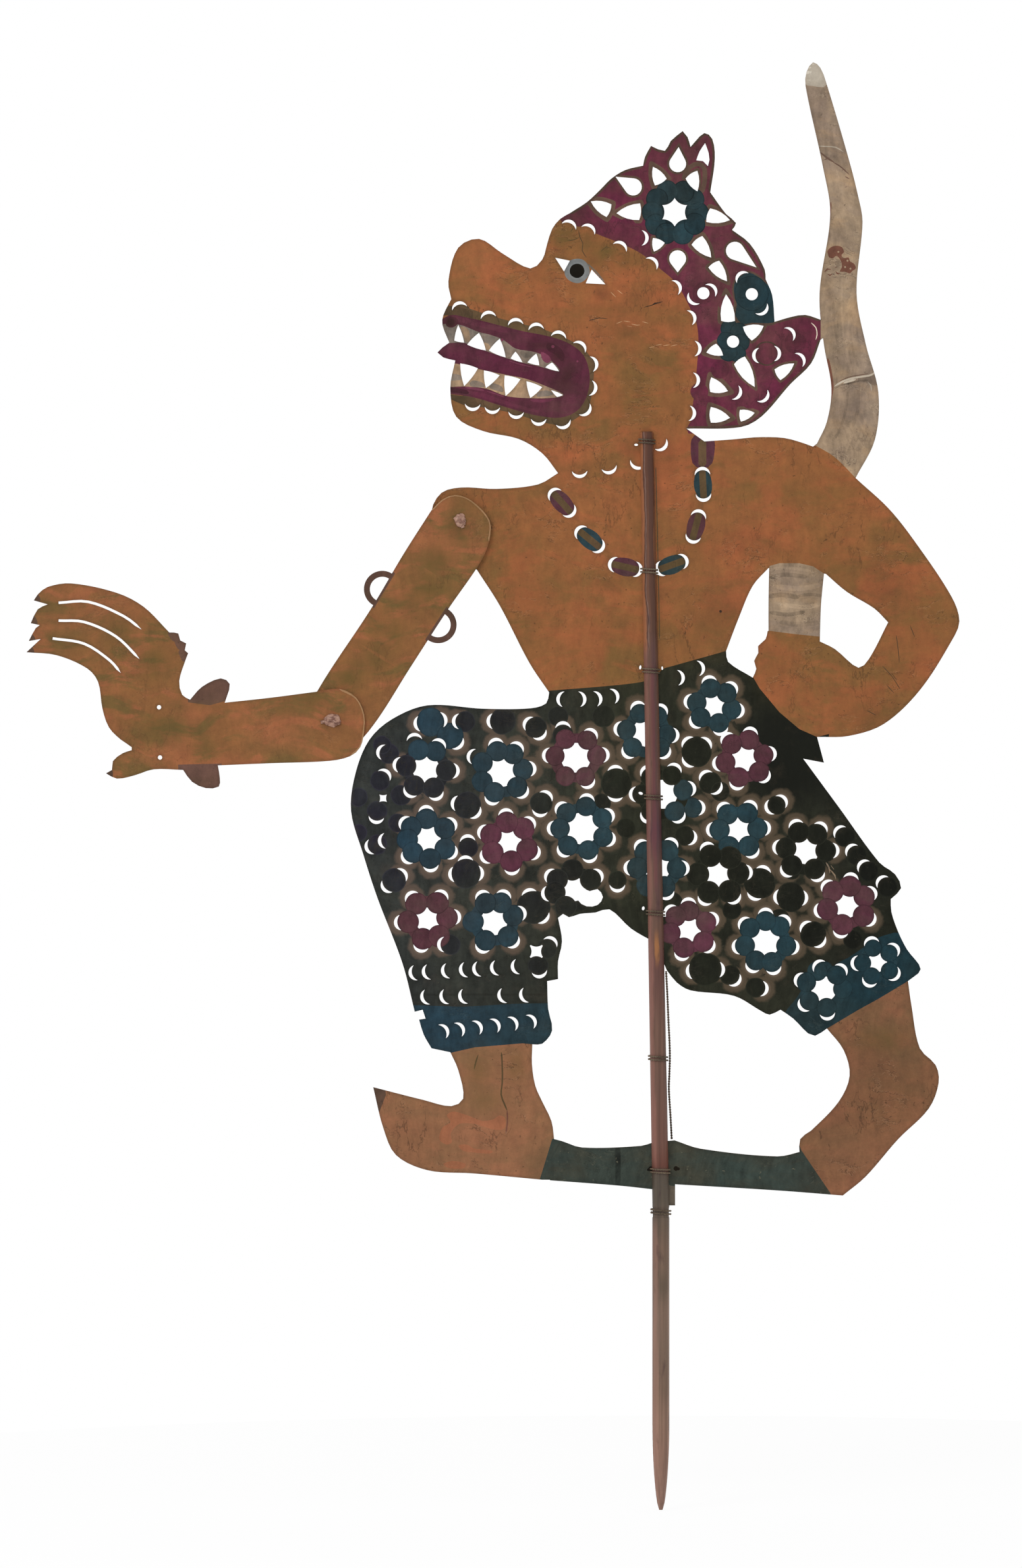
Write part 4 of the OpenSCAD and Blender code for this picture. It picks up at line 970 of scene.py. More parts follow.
# %% Teeth, gums and eye
shades = [
    ("tooth", [(-101.5, 503), (-97.5, 501.8), (-96.5, 496), (-98.8, 495.6), (-99.8, 499)], -0.1),
    ("tooth", [(-90, 494.8), (-87, 494.2), (-86, 491.2), (-88.5, 491.6)], 0.05),
    ("lip", [(-108.6, 506.8), (-105.4, 508), (-102.6, 506.6), (-103, 504.2), (-105.6, 502.6),
             (-108.4, 503.4)], -0.16),
    ("lip", [(-107.8, 506), (-105.4, 507), (-103.8, 505.8), (-104.6, 503.8), (-107, 503.4)], -0.32),
    ("lip", [(-111, 472.6), (-104, 472.2), (-98, 470.8), (-97.5, 469), (-104, 469.6), (-111, 470)], -0.4),
    ("lip", [(-57, 495), (-51, 492.4), (-48.6, 488), (-50, 485.4), (-53, 488.6), (-57.5, 491.4)], -0.3),
    ("tooth_grey", [(-112, 502), (-104.5, 501.5), (-104.5, 496.5), (-112, 497.5)], -0.05),
    ("tooth_grey", [(-91.5, 499.8), (-84, 498), (-85.5, 495), (-90, 495.4)], -0.12),
    ("tooth_grey", [(-81, 496.8), (-75, 492.8), (-73, 490), (-75.8, 489), (-78, 488), (-79.5, 491)], -0.05),
    ("tooth_grey", [(-71, 490.5), (-65, 490), (-66, 487.6), (-69.5, 487.4)], -0.2),
    ("gum_pink", [(-60.5, 490.2), (-57, 488.6), (-55.5, 486), (-57.5, 484.6), (-60, 486.5)], 0.1),
    ("tooth_grey", [(-110, 479.5), (-101.5, 478.5), (-101, 476.2), (-110, 476)], 0.1),
    ("tooth_grey", [(-95.5, 475.8), (-90.3, 474.8), (-89.5, 472.4), (-96.5, 473)], -0.1),
    ("tooth_grey", [(-85.8, 474.5), (-80.8, 473), (-80, 470), (-86.5, 472)], -0.18),
    ("tooth_grey", [(-62, 470), (-57.5, 470.8), (-54.5, 468.6), (-62.5, 467.6)], -0.1)]
for label, line, tone in shades:
    area(label, flowing(line, pace=1.5), tone)
gum_lines = [
    (1.1, (-99, 472.4), (-94, 471.6), (-89.5, 470.8)), (1.5, (-66, 466), (-60, 465.4), (-54.5, 466.4)),
    (0.6, (-88, 470.4), (-84, 469.2), (-79, 467.4)), (0.5, (-77, 485.8), (-71, 484), (-65, 482.6))]
for width, *line in gum_lines:
    stroke_of("gum_pink", line, width, -0.12)
for at, width in (((-80.3, 496.4), 0.7), ((-54.6, 493), 0.8), ((-42.2, 485.5), 0.5)):
    spot("gum_pink", at, width, 0.25)
spot("iris", (-42.4, 531.3), 6.3)
spot("iris", (-42.4, 531.3), 4.6, 0.12)
spot("pupil", (-42.4, 531.3), 3.7)
print("zones so far:", len(zones))


# %% Headcloth
def drop_hole(at, radius, tip):
    reach = math.dist(at, tip)
    opening = math.degrees(math.acos(radius / reach))
    aim = math.degrees(math.atan2(tip[1] - at[1], tip[0] - at[0]))
    return [tip] + [polar(at, radius, aim + opening + (360 - 2 * opening) * i / 14) for i in range(15)]


def bowed(corners, bow):
    """The same leaf as the cut: its sides bow outward by a share of their length."""
    ring = leftward(corners)
    line = []
    for a, b in zip(ring, ring[1:] + ring[:1]):
        out = Vector((b.y - a.y, a.x - b.x))
        line += [tuple(a + (b - a) * t + out * bow * 4 * t * (1 - t)) for t in (0, 0.25, 0.5, 0.75)]
    return line


leaves = [((-22.5, 560.5), (-10.5, 565.5), (-11, 557)), ((-4, 584), (3, 578), (-3, 574.5)),
          ((12.5, 578), (18.5, 582), (18.5, 571.5)), ((23, 556), (25, 563), (35, 557)),
          ((15.5, 544.5), (21, 549), (25.5, 538)), ((-3.5, 541), (-4, 548), (2, 545.5)),
          ((-35.5, 566.5), (-25, 565), (-27.5, 558.5)), ((24, 533), (29.5, 536.5), (33.5, 526)),
          ((41.5, 503), (52, 503.5), (46, 496)), ((25.5, 477.5), (34, 470.5), (25, 470)),
          ((57.5, 481.5), (67.5, 484.5), (60.5, 476)), ((33, 519.5), (37.5, 506), (30.5, 506)),
          ((23, 490), (28, 494.5), (31.5, 488.5)), ((47.5, 472.5), (37, 484), (42.5, 488)),
          ((25.3, 462.5), (35, 457), (25.3, 454.5)), ((40, 461), (47.5, 459.5), (40.5, 455))]
drops = [drop_hole((8.5, 585.5), 4.3, (9, 594)), drop_hole((-14, 573.8), 4.4, (-23, 579)),
         drop_hole((8.5, 537.5), 4.3, (8.5, 530.5)), drop_hole((37.5, 541.5), 4.6, (48.5, 533))]
for i, hole in enumerate(leaves):
    area("leaf_brown", flowing(widened(bowed(hole, 0.09), 1.5 + 0.5 * math.sin(2.3 * i)), pace=2.0),
         0.15 * math.sin(3.1 * i))
for hole in drops:
    area("leaf_brown", widened(hole, 1.1), -0.1)
stroke_of("leaf_brown", [(11, 577.5), (14.5, 583.5), (19, 585.5), (22, 583), (22, 576), (20.5, 570.5)], 2.4)
cloth_border = [
    [(-46, 560.5), (-37.5, 566), (-31, 572), (-25, 578), (-18, 582.3), (-9, 584.5)],
    [(-9, 584.5), (-8, 589), (-5, 594.5)],
    [(-5, 594.5), (2, 592), (5, 597), (11, 602)],
    [(11, 602), (13.5, 599), (15, 594)],
    [(15, 594), (22, 601), (26, 598), (27.3, 588), (25, 571)],
    [(25, 571), (33, 560), (38, 555.5), (36, 552)],
    [(36, 552), (45, 545), (52.5, 532), (53, 527)],
    [(57.5, 505.5), (66, 508), (73, 509), (81, 506.5)],
    [(80.8, 496.5), (76, 484.5), (65.5, 474), (51, 457.7), (40.5, 452.3), (13, 451.5)]]
strokes("leaf_brown", 2.4, -0.3, *cloth_border)
print("zones so far:", len(zones))

# %% Rosette and flower of the headcloth
crown = (7.2, 560.8)
spot("teal", crown, 13.0, -0.3)
for i, turn in enumerate((0, 36, 68, 110, 143, 180, 212, 247, 290, 330)):
    petal("teal", polar(crown, 11.4, turn), 5.3, -0.14 + 0.15 * math.sin(2.6 * i))
area("leaf_brown", flowing([(36, 522), (38, 528), (44.7, 531.4), (53.5, 526), (59, 518), (59, 505),
                            (46, 503.6), (40.5, 503), (36.5, 508), (37.4, 514)]), -0.2)
area("teal", flowing([(36.8, 522), (38.6, 527), (44.7, 530.4), (53, 525.2), (58.5, 518), (58.5, 506),
                      (46, 505), (41.2, 504.4), (37.6, 508.8), (38.4, 514)]), 0.02)
petal("teal", (45.8, 519.9), 8.6, -0.08)
spot("teal", (36.3, 495.4), 7.4, -0.06)
for middle in ((34.6, 502.2), (39.4, 500.6), (40.5, 495), (38.6, 489.6), (34.2, 489.9), (33, 496)):
    petal("teal", middle, 4.3, -0.06)
spot("headcloth", (21.5, 520), 5.6, -0.2)
spot("leaf_brown", (53.5, 489.5), 6.3, -0.45)
spot("headcloth", (53.5, 489.5), 5.6, -0.12)
for middle, radius in (((-17, 553.5), 4.5), ((33, 515), 4), ((68, 495), 5.5), ((72, 503.5), 4.5),
                       ((45, 466), 4.5), ((19.5, 470), 4.5), ((30, 481.5), 4.8)):
    spot("headcloth", middle, radius, 0.12 * math.sin(middle[0]) - 0.1)
stroke_of("pale_fold", [(76, 505), (78.4, 502.6), (79, 499), (78.3, 496.5)], 0.5, 0.3)
print("zones so far:", len(zones))

# %% Necklace
necklace = [((-50, 414), 132, "burgundy"), ((-36, 395.5), 141, "teal"), ((-18, 381.5), 167, "burgundy"),
            ((5.5, 382.5), 20, "teal"), ((17.7, 402), 75, "burgundy"), ((21.3, 423.3), 93, "teal")]
area("burgundy", flowing([(15.5, 446), (16, 434), (21, 431.5), (26, 434), (27, 446), (21, 449)]))
stroke_of("brown_line", [(21, 432), (21, 446)], 4)
for middle, turn, label in necklace:
    spot(label, middle, 4.6, stretch=1.75, turn=turn)
    stroke_of("brown_line", [polar(middle, -7.6, turn), polar(middle, 0, turn), polar(middle, 7.6, turn)],
              3.4, -0.16)
print("zones so far:", len(zones))

# %% [markdown]
# ## Wear and painted light that can be pointed at
# Some marks have a place of their own: olive grime on the brow and neck, the crease in the tail with a
# painted highlight along it and painted shadow beneath it, dark strokes at the ankle, a lighter repaint on
# the left foot, and painted shadow beside the stick and under the knots. Soft ones go into the soft
# patches of the mesh, lines are drawn like the rest.

# %% Lines on the figure
stroke_of("brown_line", [(-80.6, 136), (-80.2, 128), (-80.2, 121), (-80.8, 114.6), (-79.2, 110),
                         (-77.8, 106.6)], 0.8, -0.25)
stroke_of("rust", [(-77.8, 106.6), (-77.6, 101), (-78.4, 94.8)], 0.8, 0.1)
stroke_of("brown_line", [(-92.4, 134.8), (-93.6, 131), (-94.4, 127.4)], 0.7, -0.15)
for patch, tone in (([(-112, 94), (-110.3, 98), (-106.3, 100.7), (-108.3, 104), (-105, 106), (-99.7, 104.7),
                      (-95.7, 103.3), (-90.3, 101.3), (-85, 102), (-81.7, 104), (-78.8, 102.7), (-78.8, 98),
                      (-81.7, 96.7), (-86.3, 97.3), (-90.3, 98.7), (-95.7, 100), (-101, 100), (-104.3, 98),
                      (-106.3, 94.7), (-105.7, 90.7), (-108.3, 89.3), (-111.7, 91.3)], 0.06),
                    ([(-102.3, 88.7), (-98.3, 89.3), (-94.3, 87.3), (-89, 86.7), (-85, 86), (-87, 84.7),
                      (-94.3, 85.3), (-99.7, 86)], 0.02),
                    ([(-110, 79.5), (-105, 81), (-99, 79.6), (-100, 77.2), (-107, 77.4)], -0.02)):
    area("repaint", flowing(patch, pace=1.2), tone)
area("nail", [(-150, 122), (-139.5, 117.5), (-139, 114.5), (-142.3, 106), (-150, 104)])
strokes("ink", 0.4, 1.2, [(-41.6, 552), (-41, 548.4), (-39.4, 545), (-39.8, 541.6), (-37.6, 538)],
        [(-47.5, 546.4), (-44, 547), (-41.4, 548.2)], [(-36.4, 506), (-31.4, 507.4), (-27, 507)],
        [(-45.6, 551), (-44, 553.4)], [(-30.4, 541), (-27.6, 543.4), (-25.4, 542.8)])
stroke_of("tooth_grey", [(-37.4, 535), (-33.4, 531.4), (-28.6, 525.6)], 0.8, -0.25)
stroke_of("ink", [(-8.5, 512.8), (-5, 513.8), (-1.5, 515), (1, 515.8)], 0.4, 0.5)
stroke_of("ink", [(-4.6, 513.8), (-3, 514.8), (-1.2, 515.2)], 0.9, 0.2)
strokes("pale_line", 0.4, 0.1, [(-22.5, 504.6), (-19.5, 505.8)], [(-18.8, 506), (-15.5, 505.4)],
        [(-14.8, 504.4), (-12, 503.8), (-10.5, 504)], [(-9.4, 505.6), (-6.4, 504.8)],
        [(-17, 503.4), (-14.6, 503)], [(-2.5, 493.6), (0.6, 494.2)], [(1.2, 493.4), (4.4, 493.9)],
        [(5, 493.2), (8.4, 494)], [(-6, 492.4), (-3.2, 493)], [(-22, 521.6), (-19.4, 519.6)],
        [(-25.4, 520.6), (-22.8, 518)])
strokes("ink", 0.35, 1.2, [(119, 347), (120, 340), (120.6, 333)],
        [(112, 331.5), (117, 326), (121, 319.6)], [(116.6, 328), (119.4, 324)],
        [(114, 322), (118, 317.6)], [(126, 352), (128.4, 346)], [(104, 309), (109, 306.4)])
spot("ink", (30.2, 359), 0.7, 0.4)
# A thin dark line on the hide just right of the stick, along its edge.
stroke_of("brown_line", [(-2.6, 432), (-1.9, 405), (-1.1, 370), (-0.7, 345)], 0.5, -0.1)
stroke_of("base_green", [(-21.9, 66), (-21.6, 78), (-21.8, 90)], 2.6, -0.45)
strokes("tail_grey", 0.7, -0.3, [(83.5, 232), (85, 229.5), (85.5, 226.5)], [(86, 230.5), (87.5, 228.5)],
        [(85.5, 228.5), (88, 225.5), (88.5, 223.5)])
for middle, radius in (((-5, 77), 1.3), ((-6.3, 76.6), 0.7), ((7.6, 77.2), 1.2), ((8.8, 77), 0.8)):
    spot("pupil", middle, radius, 0.15)
print("zones so far:", len(zones))

# %% Creases and spots of the tail
streaks = [
    (1.3, -0.14, (87.4, 516), (87.6, 505), (89.6, 494), (89.8, 482)),
    (1.1, 0.14, (91.6, 528), (91.4, 512), (92.4, 498)),
    (1.2, -0.1, (96.4, 510), (96, 498), (98, 488), (100.4, 482)),
    (1.4, 0.12, (93.8, 492), (95.4, 484), (96.6, 480)),
    (1.3, -0.15, (94.6, 470), (93.4, 460), (90, 450), (86.4, 445)),
    (1.6, -0.12, (99.6, 471), (99.8, 462), (97, 452)),
    (1.4, 0.13, (103.6, 470), (104.4, 461), (102, 450), (98, 441)),
    (1.1, 0.12, (97.4, 449), (94.4, 442), (92.6, 437)),
    (2.2, -0.26, (55, 376), (63, 377.6), (74, 376.4)),
    (2.6, 0.2, (58, 371.6), (70, 370.6), (81, 372.4)),
    (2.4, -0.28, (54, 366.4), (61, 367.4), (70, 366)),
    (2.2, 0.24, (62, 362.4), (72, 361.2), (81, 362.6)),
    (2.0, -0.32, (55, 358.6), (64, 357.4), (73, 358.8)),
    (2.4, -0.15, (60, 353.6), (70, 352.4), (80, 353.4)),
    (1.6, -0.22, (69, 366.8), (76, 367.6), (82, 366.6)),
    (1.4, 0.2, (54, 380.2), (64, 381), (76, 379.4))]
for width, tone, *line in streaks:
    stroke_of("tail_grey", line, width, tone)
# The crease across the tail: a darker patch under its right end, a dark stroke beneath it that is painted
# shadow of the fold, a thin brown line along its top, a pale crumpled strip that is partly the whitened hide
# of the fold and partly painted highlight, a brighter painted highlight along its ridge, and a small darker
# stroke at its right end.
area("tail_grey", [(99.5, 477.2), (104, 477.6), (107, 478.6), (110, 480), (111, 474), (108, 473.2),
                   (104, 474.8), (100, 475.6)], -0.25)
stroke_of("tail_grey", [(88.3, 471.8), (91.5, 473.6), (95, 474.2), (100, 475.6), (105, 476)], 0.8, -0.4)
stroke_of("leaf_brown", [(90, 475.3), (95, 477.5), (100, 478.5), (105, 479.3)], 0.4, 0.2)
stroke_of("pale_fold", [(87.8, 472.8), (91.6, 475.2), (96.2, 476.8), (100.7, 477.6), (105.3, 478.3),
                        (107.1, 479), (108.4, 480.2)], 0.9)
stroke_of("pale_fold", [(92.4, 474.5), (95.5, 475.5), (98.6, 476.3)], 1.0, 0.12)
stroke_of("pale_fold", [(104.6, 475.2), (106.2, 473.4), (106.5, 470.5)], 0.5, -0.3)
area("tail_grey", flowing([(79.5, 594.6), (86, 593.8), (92.6, 590.6), (95.3, 580.5), (90, 584.4),
                           (84, 588.4), (80.4, 591.6)]), -0.12)
area("tail_grey", flowing([(81.5, 590.4), (86, 586.8), (91, 583.6), (95, 579.6), (98, 568), (95, 562),
                           (87, 564), (84, 576)]), 0.14)
stroke_of("pale_fold", [(79.6, 594.4), (84, 594.2), (88.5, 593.8), (92.4, 591.4)], 0.5, -0.25)
stroke_of("leaf_brown", [(80.4, 591.4), (82.6, 589.6), (84.4, 588.2), (87.6, 586.2)], 0.9, 0.25)
stroke_of("leaf_brown", [(87.2, 586.2), (90, 584.6), (91.6, 583.4), (95.2, 580)], 0.6, 0.15)
strokes("leaf_brown", 0.7, 0.3, [(82.6, 587.4), (85.2, 588.6)], [(91.6, 582.2), (93.4, 582.8)],
        [(93.2, 579), (95.4, 577.8)], [(93, 573.6), (94.2, 573.8)])
area("rust", flowing([(84.2, 541.2), (86, 543.2), (88.8, 544), (91.6, 543.2), (92.6, 540.8), (91.4, 539.4),
                      (92.4, 537.8), (95, 538), (95.6, 536.2), (97.8, 534.8), (98.6, 532.6), (96.8, 531.2),
                      (95.6, 530), (93, 530.8), (90.6, 531), (91.6, 533.4), (91.2, 535.8), (90, 538),
                      (88.6, 538.8), (86.8, 537.6), (85, 538.2), (84.6, 539.6)], pace=0.8))
strokes("rust", 0.8, 0.0, [(82.8, 530.8), (84.2, 532.2), (86, 532)],
        [(84.4, 529.6), (85.6, 529), (86.6, 529.8)], [(88.4, 531), (89.4, 529.8), (90.6, 530)],
        [(88, 532.8), (89.2, 533.4)])
for middle in ((89.8, 540.9), (94.4, 536.4), (93.2, 533.2), (95.9, 532.4)):
    spot("tail_grey", middle, 0.5)
stroke_of("rust", [(84.4, 487), (86, 479), (86.7, 473), (86, 467.5), (84.4, 461)], 1.3, 0.35)
stroke_of("rust", [(86, 566), (85.4, 558), (84.6, 551)], 0.8, 0.3)
area("pale_fold", flowing([(72, 627), (77, 624.8), (84, 625.5), (84, 640), (72, 640)]), -0.28)
print("zones so far:", len(zones))

# %% Soft stains and painted shadows of the figure
# Each patch is a middle, a width, a height and a strength.
OLIVE, DARK, PALE, WARM = range(4)
figure_stains_and_shadows = {
    OLIVE: [(-58, 366, 12, 9, 0.4), (-25, 352, 14, 8, 0.35), (57, 330, 8, 12, 0.45),
            (120, 328, 14, 10, 0.4), (-48, 549, 8, 5, 0.85), (-37, 546, 4, 6, 0.8),
            (-27, 541, 7, 5, 0.85), (-17, 537, 8, 5, 0.6), (-31, 536, 6, 4, 0.5),
            (-28, 511, 22, 4, 0.45), (-80, 446, 16, 5, 0.35), (-22, 460, 8, 8, 0.3),
            (-10, 475, 7, 20, 0.3), (8, 470, 5, 18, 0.3), (-101, 403, 14, 14, 0.45),
            (-60, 530, 8, 6, 0.3), (112, 142, 14, 6, 0.6), (-92, 126, 6, 9, 0.5), (-73, 129, 5, 7, 0.5),
            (-89, 112, 8, 6, 0.45), (60, 420, 30, 12, 0.25), (130, 350, 15, 20, 0.35),
            (100, 310, 18, 10, 0.35), (75, 318, 18, 12, 0.25), (-70, 360, 14, 30, 0.3),
            (20, 345, 25, 10, 0.35), (-30, 335, 26, 12, 0.25), (14, 380, 8, 30, 0.25),
            (120, 110, 14, 16, 0.2), (-85, 415, 16, 7, 0.25), (88, 385, 16, 9, 0.3)],
    # The long dark patches at x -3.5 and -2.5 run down the right side of the stick: partly painted shadow of
    # the stick, partly grime.
    DARK: [(3, 436, 12, 9, 0.2), (40, 394, 22, 9, 0.16), (10, 596, 16, 9, 0.3), (-26, 576, 14, 7, 0.3),
           (-41, 562, 8, 5, 0.45), (40, 548, 9, 7, 0.2), (-30, 520, 4, 3, 0.4), (-8, 518, 9, 4, 0.25),
           (-107, 505.2, 3.2, 3.4, 0.95), (-62, 493.4, 9, 2.4, 0.5), (-52.5, 488, 4, 3.5, 0.6),
           (-47, 479, 3.5, 6, 0.6), (-49, 475, 6, 5, 0.6), (-41, 470, 4, 6, 0.2),
           (-75, 481.5, 16, 2, 0.3), (-34, 537, 3, 2, 0.25), (-3.5, 425, 3.5, 26, 0.3),
           (-2.5, 370, 3.5, 30, 0.25), (-11, 441, 8, 5, 0.3), (-26, 374, 5, 4, 0.3),
           (-18, 500, 9, 5, 0.25), (110, 128, 22, 16, 0.2), (90, 100, 16, 20, 0.12),
           (-128, 92, 14, 12, 0.1), (84, 556, 3, 10, 0.2), (92, 548, 6, 7, 0.16), (82, 612, 4, 10, 0.12),
           (85, 502, 4, 20, 0.16), (90, 484, 4, 10, 0.2), (98, 464, 4, 13, 0.2), (91, 458, 4, 9, 0.14),
           (30, 360, 14, 14, 0.26), (113, 372, 13, 16, 0.28), (-57, 80, 8, 9, 0.3), (76, 72, 8, 9, 0.2),
           (78, 370, 5, 12, 0.3), (108, 304, 12, 9, 0.2)],
    PALE: [(-92, 538, 14, 12, 0.14), (76, 632, 9, 8, 0.5), (97, 556, 5, 14, 0.2), (88, 612, 4, 10, 0.2),
           (93, 515, 4, 16, 0.2), (103, 486, 4, 9, 0.3), (107, 461, 4, 8, 0.3), (88, 574, 6, 9, 0.2),
           (92, 84, 12, 12, 0.14), (62, 362, 9, 4, 0.35), (88, 226, 5, 5, 0.15)],
    WARM: [(-95, 541, 12, 8, 0.5), (-60, 518, 10, 10, 0.6), (2, 500, 14, 7, 0.8), (3, 518, 14, 7, 0.9),
           (-15, 506, 10, 6, 0.8), (-16, 530, 8, 6, 0.6), (-63, 531, 8, 7, 0.7), (-15, 493, 8, 6, 0.6),
           (-27, 470, 7, 9, 0.6), (-47, 438, 16, 8, 0.95), (-47, 427, 10, 6, 0.8),
           (-30, 498, 14, 6, 0.6), (-20, 416, 14, 10, 0.6), (-60, 412, 12, 8, 0.4),
           (-94, 95, 14, 8, 0.7)]}
print("stains:", sum(len(patches) for patches in figure_stains_and_shadows.values()))

# %% The painted figure
# The slits of the ties are closed round the thread, and six pinholes are pricked beside the stick.
tie_cuts = [(stick_middle(z) + side * tie_radius(z), z) for z in tie_heights.values() for side in (-1, 1)]
pinholes = [round_spot(middle, radius, stretch, turn) for middle, radius, stretch, turn in (
    ((-12.5, 443.3), 0.6, 1.6, 0), ((-10.4, 330.7), 0.55, 1.9, 80), ((0.7, 330.3), 0.45, 2.0, 95),
    ((-10.2, 267), 0.7, 1.6, -20), ((-8.9, 208.8), 0.7, 1.4, 80), ((-5.1, 77.2), 0.4, 1.0, 0))]
figure = painted_sheet("painted_figure", "figure_hide", "skin", zones, figure_stains_and_shadows, filled=tie_cuts,
                       pierced=pinholes, rings=halo_rings)
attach(figure, "figure")

# %% [markdown]
# ## The swinging arm
# Upper arm and forearm are cut from the same hide and painted like the body, with brown armbands and
# bracelets and darker nails. They are drawn in their place at rest, which is where they hang in the picture.
# The same function as for the figure makes them, so that arm and body match.

# %% Upper arm
shoulder = (-101.5, 405.0)
elbow = (-165.976, 303.793)
zones = []
along = 237.5


def on_arm(x, y):
    """A point given along the arm and to its left, measured from the shoulder."""
    return polar(polar(shoulder, x, along), y, along + 90)


for edge in (-14.5, 19):
    spot("band_brown", on_arm(50.5, edge), 10.2)
between_bands = ((30, -13.6), (62, -12.8), (80, -12.8), (80, 17.4), (41, 17.6), (30, 17.8))
area("arm", [on_arm(x, y) for x, y in between_bands])
shoulder_arc = ((3.5, -15), (-4, -13.3), (-9.5, -9), (-11.5, -0.5), (-8, 12.5), (1, 18))
stroke_of("pale_line", [on_arm(x, y) for x, y in shoulder_arc], 1.3, -0.15)
arm_stains_and_shadows = {
    OLIVE: [(-113.8, 384, 8, 7, 1.0), (-118, 371, 9, 5, 0.95), (-126, 363, 6, 8, 0.8),
            (-143.5, 336, 6, 9, 0.9), (-152, 331, 6, 5, 0.8), (-158, 325, 8, 6, 0.9),
            (-103, 399, 7, 7, 0.7), (-135, 347, 4, 12, 0.6), (-140, 350, 12, 3, 0.5),
            (-97, 413, 6, 4, 0.5)],
    # The second dark patch lies just under the shoulder knot: painted shadow of the knot.
    DARK: [(-150, 312, 8, 6, 0.15), (-101.5, 402, 5, 4, 0.35)],
    WARM: [(-112, 413, 6, 5, 0.7)]}
upper_arm = painted_sheet("painted_upper_arm", "upper_arm", "arm", zones, arm_stains_and_shadows)
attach(upper_arm, "upper_arm")

# %% Forearm
zones = []
area("band_brown", [(-240, 327), (-216, 327), (-217, 314.5), (-228, 311.5), (-239, 313)])
area("band_brown", [(-244, 281.5), (-232, 281.8), (-222, 282), (-222, 268), (-244, 268)])
for tip, reach in (((-317.6, 364.2), 4.0), ((-319.2, 352.8), 4.2), ((-320.2, 343.8), 4.2),
                   ((-321.5, 338), 4.8)):
    spot("nail", (tip[0] + 0.5, tip[1] + 0.6), reach, stretch=0.85, turn=25)
spot("nail", (-281, 276.5), 4.2)
for line in ([(-249, 348.5), (-243, 348.5), (-243, 344.2), (-246, 343.6), (-248, 345.5)],
             [(-245.5, 344.2), (-239.5, 344.5), (-239.5, 339.5), (-242, 338.8), (-244.5, 340.5)],
             [(-243.5, 339.2), (-238.5, 339.5), (-238.5, 334), (-241.5, 333.6), (-243, 336)]):
    area("band_brown", flowing(line, pace=1.5), 0.2)
elbow_arc = ((3.5, 16), (12, 11.5), (16, 3), (16, -5), (14, -13.5), (9, -18))
stroke_of("pale_line", [(elbow[0] + x, elbow[1] + z) for x, z in elbow_arc], 1.3, -0.15)
forearm_stains_and_shadows = {
    OLIVE: [(-300, 358, 16, 8, 0.4), (-276, 350, 10, 12, 0.75), (-257, 333, 8, 9, 0.8),
            (-191, 309, 8, 4, 0.4), (-176, 314, 9, 4, 0.75), (-249, 300, 12, 6, 0.85),
            (-224, 311, 7, 3, 0.5), (-268, 294, 8, 7, 0.65), (-300, 343, 14, 5, 0.6),
            (-243, 312, 5, 7, 0.6), (-232, 290, 9, 4, 0.5)],
    # The dark patch lies just under the elbow knot: painted shadow of the knot.
    DARK: [(-166, 302, 5, 4, 0.4)],
    WARM: [(-195, 298, 16, 10, 0.8), (-295, 353, 16, 6, 0.7), (-213, 308, 9, 6, 0.6)]}
forearm = painted_sheet("painted_forearm", "forearm", "arm", zones, forearm_stains_and_shadows)
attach(forearm, "forearm")

# %% [markdown]
# ## The stick
# The stick is a split length of wood, stained a purplish brown and polished by hands. Its solid is right
# as it is, so only its finish is made: long grain, worn and stained stretches along its height, painted
# highlights down its left side and painted shade down its right side, and a soft shine.

# %% Stick finish
stick, tree = new_material("stained_stick")
spot_on = on_object(tree)
fibre = cloud(tree, mapped(tree, spot_on, Scale=(900, 900, 22)), 1.0, 4.0, 0.6)
stripe = cloud(tree, mapped(tree, spot_on, Scale=(330, 330, 7)), 1.0, 3.0, 0.5)
patch = cloud(tree, mapped(tree, spot_on, Scale=(150, 150, 40)), 1.0, 4.0, 0.6)
parts = place(tree, "SeparateXYZ", {0: spot_on}).outputs
height = parts[2]
low_end, high_end = -0.1, 0.45  # Z in metres
share = place(tree, "MapRange", {"Value": height, "From Min": low_end, "From Max": high_end}).outputs[0]
share = sloped(tree, minus(tree, patch, 0.5), 0.012, share)
stops = [(0.0, "#88695c"), (0.064, "#8a6a5a"), (0.091, "#876a59"), (0.118, "#796050"), (0.15, "#766051"),
         (0.19, "#7d6556"), (0.215, "#6d594a"), (0.25, "#6a5446"), (0.27, "#5c4d40"), (0.285, "#594b40"),
         (0.291, "#50463b"), (0.316, "#4e443a"), (0.323, "#5f382d"), (0.345, "#68473c"), (0.40, "#62473c"),
         (0.45, "#664a3e"), (0.51, "#603f39"), (0.545, "#62473b"), (0.60, "#60453a"), (0.632, "#4b2f34"),
         (0.655, "#523630"), (0.68, "#5c4236"), (0.80, "#5b3f32"), (0.85, "#5e3e2e"), (1.0, "#603b2b")]
shade = sloped(tree, stripe, 1.1, sloped(tree, fibre, 0.9, 0.0))
colour = place(tree, "VectorMath", {0: ramp_of(tree, share, stops), "Scale": shade},
               operation="SCALE").outputs[0]
print("stick colours:", len(stops))

